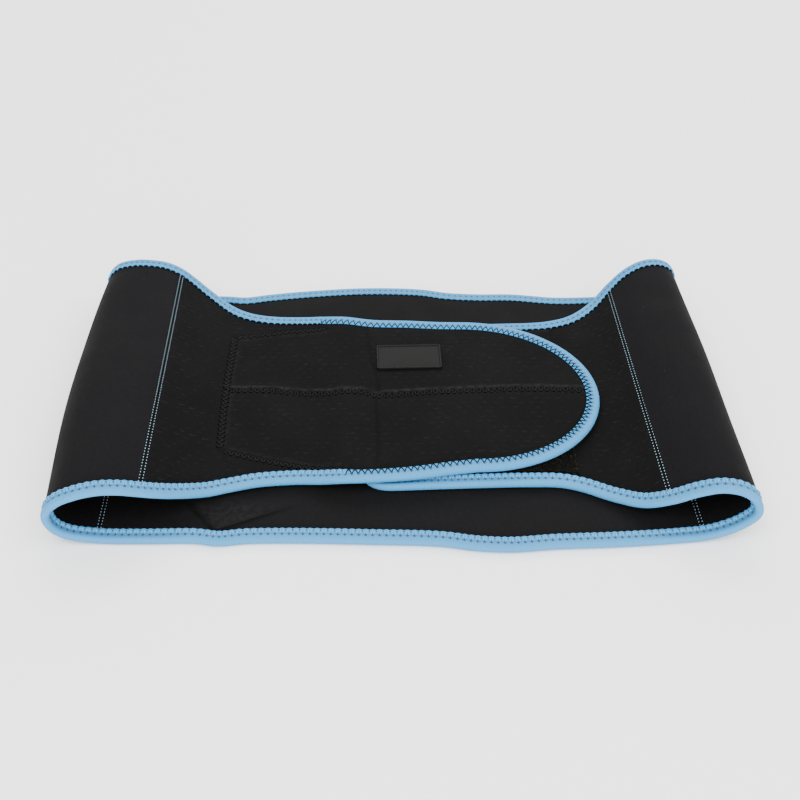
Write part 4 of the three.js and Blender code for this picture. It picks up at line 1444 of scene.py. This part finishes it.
def thread_material(name, color, roughness=0.6, specular=0.15):
    """Twisted thread: slanting stripes of light and shade round it, and a slight mottle."""
    material, t, shader = new_material(name, roughness, sheen=0.02, specular=specular)
    flat = t.map("pattern")
    along, round_it, _ = t.parts(flat)
    slant = t.math("ADD", t.times(along, 1 / TWIST_LENGTH), t.times(round_it, 1 / THREAD_ROUND))
    twist = t.times(t.math("ADD", t.math("SINE", t.times(slant, 2 * np.pi)), 1.0), 0.5)
    mottle = t.noise(flat, 700.0, 2.0)
    shade = t.mix(t.times(t.math("ADD", twist, mottle), 0.4), tuple(color), scaled(color, 0.62))
    t.feed(shader.inputs["Base Color"], shade)
    bump(t, shader, (twist, 0.06 * MM, 0.6))
    return material


def fastener_material(name, colors, density, worn_from=None):
    """Fastener fabric: tangled dark pile with specks of stray paler fibre, which fade out away from
    the viewer past a line along X if one is given."""
    color, speck = colors
    material, t, shader = new_material(name, 0.85, sheen=0.01, sheen_roughness=0.6, specular=0.05)
    place = t.place()
    tangle = t.noise(place, 1500.0, 4.0, 0.7)
    clumps = t.noise(place, 420.0, 2.0, 0.6)
    fibre = t.noise(place, 1900.0, 1.0, 0.5)
    shade = t.mix(t.step(tangle, 0.35, 0.65), scaled(color, 0.45), color)
    specks = t.times(t.step(fibre, density, density + 0.05), t.step(clumps, 0.42, 0.6))
    if worn_from is not None:
        worn = t.step(t.parts(place)[1], worn_from, worn_from + 25 * MM, 1.0, 0.0)
        specks = t.times(specks, worn)
    shade = t.mix(specks, shade, speck)
    t.feed(shader.inputs["Base Color"], shade)
    bump(t, shader, (tangle, 0.25 * MM, 0.8), (clumps, 0.3 * MM, 0.6))
    return material


def rubber_material(settings):
    """Moulded rubber: fine grain, faint pale scuffs, and a slightly paler raised rim."""
    material, t, shader = new_material("Moulded Rubber", 0.6, specular=0.08)
    place = t.place()
    grain = t.noise(place, 2600.0, 2.0, 0.6)
    scuff = t.step(t.noise(place, 350.0, 4.0, 0.7), 0.55, 0.8)
    color = tuple(settings.color)
    pale = scaled(color, 1.7)
    top = BADGE_BOX[1, 2]
    raised = t.step(t.parts(place)[2], top - 0.35 * MM, top - 0.05 * MM)
    shade = t.mix(t.times(scuff, 0.35), color, pale)
    shade = t.mix(t.times(raised, 0.25), shade, pale)
    t.feed(shader.inputs["Base Color"], shade)
    t.feed(shader.inputs["Roughness"], t.math("ADD", 0.5, t.times(grain, 0.15)))
    bump(t, shader, (grain, 0.04 * MM, 0.5))
    return material


def floor_material(settings):
    """White sweep paper with a barely visible grain."""
    material, t, shader = new_material("White Paper Floor", 0.9, specular=0.1)
    grain = t.times(t.noise(t.place(), 300.0, 3.0), 0.02)
    shade = t.mix(grain, tuple(settings.floor_color), PAPER_GRAIN_COLOR)
    t.feed(shader.inputs["Base Color"], shade)
    return material


def color_setting(name, description, default):
    """Setting for a colour."""
    return FloatVectorProperty(
        name=name, description=description, subtype="COLOR", size=4, min=0, max=1, default=default
    )


def length_setting(name, description, default):
    """Setting for a length, in metres."""
    return FloatProperty(
        name=name, description=description, default=default, min=0, precision=5, unit="LENGTH"
    )


def angle_setting(name, description, degrees):
    """Setting for an angle."""
    return FloatProperty(
        name=name, description=description, default=np.radians(degrees), subtype="ANGLE"
    )


class BeltClothSettings(PropertyGroup):
    """Sizes and colours of the neoprene."""

    front_color: color_setting("Front", "Embossed neoprene of both fronts", (0.0020, 0.0019, 0.0021, 1))
    side_color: color_setting("Sides", "Smooth neoprene of both sides", (0.0036, 0.0035, 0.0040, 1))
    back_color: color_setting("Back", "Smooth neoprene of the back", (0.0040, 0.0039, 0.0042, 1))
    mesh_step: length_setting("Mesh Step", "Spacing of the smooth panels' mesh", 2.2 * MM)
    front_step: length_setting("Front Mesh Step", "Spacing of the left front's mesh", 1.0 * MM)
    pucker: length_setting("Pucker", "Depth of the cloth's pull along the patch stitching", 0.75 * MM)
    seam_dip: length_setting("Seam Dip", "How far the cloth dips at a seam", 0.6 * MM)
    knit: length_setting("Knit Column", "Width of one column of the jersey's knit", 0.9 * MM)
    dimple_pitch: length_setting("Dimple Pitch", "Spacing of the dimples in a row", 7 * MM)
    dimple_row: length_setting("Dimple Row", "Spacing of the rows of dimples", 4.4 * MM)
    dimple_depth: length_setting("Dimple Depth", "Depth of each embossed dimple", 0.36 * MM)


class BeltTapeSettings(PropertyGroup):
    """Sizes and colours of the edge tape and its zigzag."""

    color: color_setting("Tape", "Light blue of the elastic tape", (0.03, 0.2, 0.41, 1))
    thread_color: color_setting("Blue Thread", "Thread of the tape's zigzag", (0.09, 0.34, 0.59, 1))
    dark_color: color_setting("Black Thread", "Thread round the flap", (0.001, 0.0012, 0.002, 1))
    stitch_pitch: length_setting("Stitch Pitch", "Length of one zigzag", 3.9 * MM)
    thread: length_setting("Thread", "Thickness of the blue thread", 0.58 * MM)
    dark_thread: length_setting("Dark Thread", "Thickness of the black thread", 0.62 * MM)
    scallop: length_setting("Scallop", "How far the tape swells between stitches", 1.5 * MM)
    rib: length_setting("Rib", "Spacing of the tape's ribs", 0.85 * MM)


class BeltSeamSettings(PropertyGroup):
    """Sizes of the seams' double rows of stitches, the hook patch's zigzag and the loops' pile."""

    thread_color: color_setting("Thread", "Pale thread of the seams", (0.27, 0.41, 0.49, 1))
    row_gap: length_setting("Row Gap", "Distance between a seam's two rows", 2.0 * MM)
    stitch_pitch: length_setting("Stitch Pitch", "Spacing of the stitches in a row", 2.35 * MM)
    stitch_length: length_setting("Stitch Length", "Length of one stitch", 0.9 * MM)
    stitch_width: length_setting("Stitch Width", "Width of one stitch", 0.5 * MM)
    patch_zigzag: length_setting("Patch Zigzag", "Width of the hook patch's zigzag", 3.8 * MM)
    patch_thread: length_setting("Patch Thread", "Thickness of the hook patch's thread", 0.55 * MM)
    pile: length_setting("Pile", "Height of the loop fabric's pile", 0.8 * MM)


class BeltBadgeSettings(PropertyGroup):
    """Colour of the badge."""

    color: color_setting("Rubber", "Dark grey of the moulded rubber", (0.0021, 0.0021, 0.0019, 1))


class BeltStageSettings(PropertyGroup):
    """The floor, lights and camera."""

    floor_color: color_setting("Floor", "White of the floor", (0.9, 0.9, 0.9, 1))
    lens: FloatProperty(name="Lens", description="Focal length in millimetres", default=49.82, min=1)
    camera_tilt: angle_setting("Tilt", "How far the camera looks down", 41)
    camera_turn: angle_setting("Turn", "How far the camera is turned to the right", 1.884)


class BeltSettings(PropertyGroup):
    """All settings of the belt."""

    cloth: PointerProperty(type=BeltClothSettings)
    tape: PointerProperty(type=BeltTapeSettings)
    seams: PointerProperty(type=BeltSeamSettings)
    badge: PointerProperty(type=BeltBadgeSettings)
    stage: PointerProperty(type=BeltStageSettings)


class BELT_OT_panels(Operator):
    """Make the five neoprene panels, each a closed sheet in the place of its solid"""

    bl_idname = "belt.panels"
    bl_label = "Neoprene Panels"

    def execute(self, context):
        belt = context.scene.belt
        cloth = belt.cloth
        tip = round_end(np.linspace(0, np.pi / 2, 110)[1:], **FLAP_TIP)
        hidden = turned_round(round_end(np.linspace(0, np.pi / 2, 46)[1:], **HIDDEN_END))
        step, fine = cloth.mesh_step, cloth.front_step

        def between(first_seam, last_seam):
            return spaced(first_seam, last_seam, step, fine_first=True, fine_last=True)

        def smooth(amount):
            def relief(x, y, depth):
                bend = plain_relief(x, y, depth, amount)
                return bend, bend
            return relief

        def front(x, y, depth):
            bend = front_relief(x, y, depth, belt.tape.stitch_pitch, cloth.pucker)
            return bend, 0 * bend

        def floor_side(x, y, depth):
            return 0 * x, buckle_relief(x, y, depth) + plain_relief(x, y, depth, 0.25 * MM)

        pieces = [
            ("right_front_neoprene", "right_front_panel", "front_cloth", smooth(0.2 * MM), True,
             join(hidden, stations_at(spaced(0, RIGHT_TOP_SEAM, step, fine_last=True))),
             cross_lines(step, FRONT_WIDTH)),
            ("right_side_neoprene", "right_side_panel", "side_cloth", smooth(0.35 * MM), False,
             stations_at(between(RIGHT_TOP_SEAM, RIGHT_LOW_SEAM)),
             cross_lines(step, SIDE_WIDTH)),
            ("back_neoprene", "back_panel", "back_cloth", floor_side, False,
             stations_at(finer(between(RIGHT_LOW_SEAM, LEFT_LOW_SEAM), *BUCKLE_SPAN)),
             cross_lines(step, BACK_WIDTH, dense_at=0, reach=30 * MM)),
            ("left_side_neoprene", "left_side_panel", "side_cloth", smooth(0.35 * MM), False,
             stations_at(between(LEFT_LOW_SEAM, LEFT_TOP_SEAM)),
             cross_lines(step, SIDE_WIDTH)),
            ("left_front_neoprene", "left_front_panel", "front_cloth", front, True,
             join(stations_at(spaced(LEFT_TOP_SEAM, LAST, fine, fine_first=True)), tip),
             cross_lines(1.7 * fine, FRONT_WIDTH, dense_at=0.5)),
        ]
        materials = {
            "front_cloth": cloth_material("Dimpled Neoprene", cloth.front_color, True, cloth),
            "side_cloth": cloth_material("Side Jersey Neoprene", cloth.side_color, False, cloth),
            "back_cloth": cloth_material("Back Jersey Neoprene", cloth.back_color, False, cloth),
        }
        # Painted highlight and painted shade of the flap's stitched lines and of the buckle
        painted_lights = dict(left_front_panel=stitch_painted_light, back_panel=buckle_painted_light)
        for name, node, slot, relief, merge, stations, lines in pieces:
            wear = painted_lights.get(node, no_painted_light)
            piece = make_panel(name, stations, lines, relief, cloth.seam_dip, merge, wear)
            finish_piece(piece, materials[slot], slot, node)
        return {"FINISHED"}


class BELT_OT_edge_tape(Operator):
    """Make the folded elastic tape, which swells up in beads between the stitches of its zigzag"""

    bl_idname = "belt.edge_tape"
    bl_label = "Edge Tape"

    def execute(self, context):
        tape = context.scene.belt.tape
        trim = make_trim(tape)
        look = tape_material(tape, trim.outline.length / trim.stitches)
        finish_piece(make_tape(trim, tape.scallop), look, "blue_tape", "edge_binding")
        return {"FINISHED"}


class BELT_OT_tape_stitching(Operator):
    """Make the zigzag of thread on both faces of the tape, black round the flap and blue elsewhere"""

    bl_idname = "belt.tape_stitching"
    bl_label = "Tape Zigzag"

    def execute(self, context):
        tape = context.scene.belt.tape
        trim = make_trim(tape)
        first, last = trim.black
        end = trim.stitches + first
        black = [tape_stitches(trim, first, last, face, tape.dark_thread) for face in (-1, 1)]
        blue = [tape_stitches(trim, last, end, face, tape.thread) for face in (-1, 1)]
        piece = tube_mesh("tape_zigzag_blue", blue)
        finish_piece(piece, thread_material("Blue Thread", tape.thread_color), "blue_tape")
        piece = tube_mesh("tape_zigzag_black", black)
        finish_piece(piece, thread_material("Black Thread", tape.dark_color, 0.7, 0.05), "fastener")
        return {"FINISHED"}


class BELT_OT_seam_stitching(Operator):
    """Make the double rows of short stitches over the four seams, on both faces"""

    bl_idname = "belt.seam_stitching"
    bl_label = "Seam Stitches"

    def execute(self, context):
        belt = context.scene.belt
        piece = make_seam_stitches(belt.seams)
        finish_piece(piece, thread_material("Seam Thread", belt.seams.thread_color), "blue_tape")
        return {"FINISHED"}


class BELT_OT_patch_stitching(Operator):
    """Make the black zigzag that holds the hook patch, as it shows on the flap"""

    bl_idname = "belt.patch_stitching"
    bl_label = "Patch Zigzag"

    def execute(self, context):
        belt = context.scene.belt
        piece = tube_mesh("patch_zigzag", [patch_stitches(line, belt) for line in PATCH_LINES])
        look = thread_material("Patch Thread", PATCH_THREAD_COLOR, 0.7, 0.08)
        finish_piece(piece, look, "front_cloth")
        # Near-black domes: painted shade in the patch's needle holes
        look = thread_material("Needle Hole Shade", NEEDLE_HOLE_SHADE_COLOR, 0.9, 0.0)
        finish_piece(make_needle_hole_shade(PATCH_LINES, belt), look, "front_cloth")
        return {"FINISHED"}


class BELT_OT_fasteners(Operator):
    """Make the hook fabric under the flap and the loop fabric on the right front"""

    bl_idname = "belt.fasteners"
    bl_label = "Hook and Loop Fabric"

    def execute(self, context):
        belt = context.scene.belt
        places = spaced(HOOK_FIRST, LAST, 2.5 * MM)
        turn = np.linspace(0, np.pi / 2, 40)[1:]
        stations = join(stations_at(places), round_end(turn, **FLAP_TIP))
        taper = np.concatenate([hook_taper(places), np.zeros(len(turn))])
        depth = TAPE_FACE + PATCH_MARGIN + taper
        hook = make_patch("hook_fabric", stations, depth, -1, HOOK_THICKNESS, 0.05 * MM, merge=True)
        look = fastener_material("Hook Fabric", HOOK_COLORS, 0.62)
        finish_piece(hook, look, "fastener", "hook_patch")
        stations = stations_at(spaced(0, LOOP_LAST, 2 * MM))
        depth = np.full(len(stations.near), TAPE_FACE + PATCH_MARGIN)
        loop = make_patch("loop_fabric", stations, depth, 1, LOOP_THICKNESS, 0.12 * MM, columns=70)
        look = fastener_material("Loop Fabric", LOOP_COLORS, 0.64, worn_from=-45 * MM)
        finish_piece(loop, look, "fastener", "loop_patch")
        finish_piece(loop_pile(belt.seams), look, "fastener")
        return {"FINISHED"}


class BELT_OT_badge(Operator):
    """Make the bare moulded badge with its raised rim"""

    bl_idname = "belt.badge"
    bl_label = "Badge"

    def execute(self, context):
        finish_piece(make_badge(), rubber_material(context.scene.belt.badge), "rubber", "badge")
        return {"FINISHED"}


def area_light(name, size, power, place):
    """Soft rectangular light aimed at the origin, where the belt lies."""
    data = bpy.data.lights.new(name, "AREA")
    data.shape = "RECTANGLE"
    data.size, data.size_y = size
    data.energy = power
    light = bpy.data.objects.new(name, data)
    light.location = place
    light.rotation_euler = (Vector((0, 0, 0)) - Vector(place)).to_track_quat("-Z", "Y").to_euler()
    bpy.context.scene.collection.objects.link(light)


# Each light's name, width and height, watts and place
LIGHTS = (
    ("key_light", (1.6, 1.2), 42, (-0.5, -0.9, 1.7)),
    ("fill_light", (1.6, 1.6), 26, (1.4, -0.3, 1.3)),
    ("low_front_light", (2.4, 0.5), 45, (0, -1.7, 0.35)),
    ("back_light", (1.8, 1.0), 36, (0.1, 1.5, 1.3)),
)
WORLD_STRENGTH = 1.5
HALF_FLOOR = 4.0

# The camera's place, from the camera fitted to the photo
CAMERA_PLACE = np.array([-16.31, -535.68, 468.23]) * MM


class BELT_OT_stage(Operator):
    """Make the white floor, the soft lights and the camera"""

    bl_idname = "belt.stage"
    bl_label = "Stage"

    def execute(self, context):
        scene = context.scene
        stage = scene.belt.stage
        half = HALF_FLOOR
        corners = np.array([(-half, -half, 0), (half, -half, 0), (half, half, 0), (-half, half, 0)])
        floor = make_mesh("floor", corners - SHIFT, np.array([[0, 1, 2, 3]]))
        floor.data.materials.append(floor_material(stage))
        for light in LIGHTS:
            area_light(*light)
        world = scene.world or bpy.data.worlds.new("Studio")
        scene.world = world
        world.use_nodes = True
        sky = world.node_tree.nodes["Background"].inputs
        sky["Color"].default_value = (1, 1, 1, 1)
        sky["Strength"].default_value = WORLD_STRENGTH
        data = bpy.data.cameras.new("camera")
        data.sensor_width = 36
        data.lens = stage.lens
        data.clip_start = 0.01
        camera = bpy.data.objects.new("camera", data)
        camera.location = CAMERA_PLACE + SHIFT
        camera.rotation_euler = Euler((np.pi / 2 - stage.camera_tilt, 0, -stage.camera_turn))
        scene.collection.objects.link(camera)
        scene.camera = camera
        return {"FINISHED"}


PIECE_OPERATORS = (
    BELT_OT_panels,
    BELT_OT_edge_tape,
    BELT_OT_tape_stitching,
    BELT_OT_seam_stitching,
    BELT_OT_patch_stitching,
    BELT_OT_fasteners,
    BELT_OT_badge,
    BELT_OT_stage,
)


class BELT_PT_sidebar(Panel):
    """Buttons for each group of pieces"""

    bl_idname = "BELT_PT_sidebar"
    bl_label = "Lumbar Support Belt"
    bl_space_type = "VIEW_3D"
    bl_region_type = "UI"
    bl_category = "Belt"

    def draw(self, context):
        for operator in PIECE_OPERATORS:
            self.layout.operator(operator.bl_idname)


CLASSES = (
    BeltClothSettings,
    BeltTapeSettings,
    BeltSeamSettings,
    BeltBadgeSettings,
    BeltStageSettings,
    BeltSettings,
    *PIECE_OPERATORS,
    BELT_PT_sidebar,
)


def register():
    """Add the settings, the operators and the sidebar to Blender."""
    for group in CLASSES:
        bpy.utils.register_class(group)
    bpy.types.Scene.belt = PointerProperty(type=BeltSettings)


def unregister():
    """Take them out again."""
    del bpy.types.Scene.belt
    for group in reversed(CLASSES):
        bpy.utils.unregister_class(group)


def main():
    """Make every piece and the stage."""
    register()
    bpy.ops.belt.panels()
    bpy.ops.belt.edge_tape()
    bpy.ops.belt.tape_stitching()
    bpy.ops.belt.seam_stitching()
    bpy.ops.belt.patch_stitching()
    bpy.ops.belt.fasteners()
    bpy.ops.belt.badge()
    bpy.ops.belt.stage()


if __name__ == "__main__":
    main()
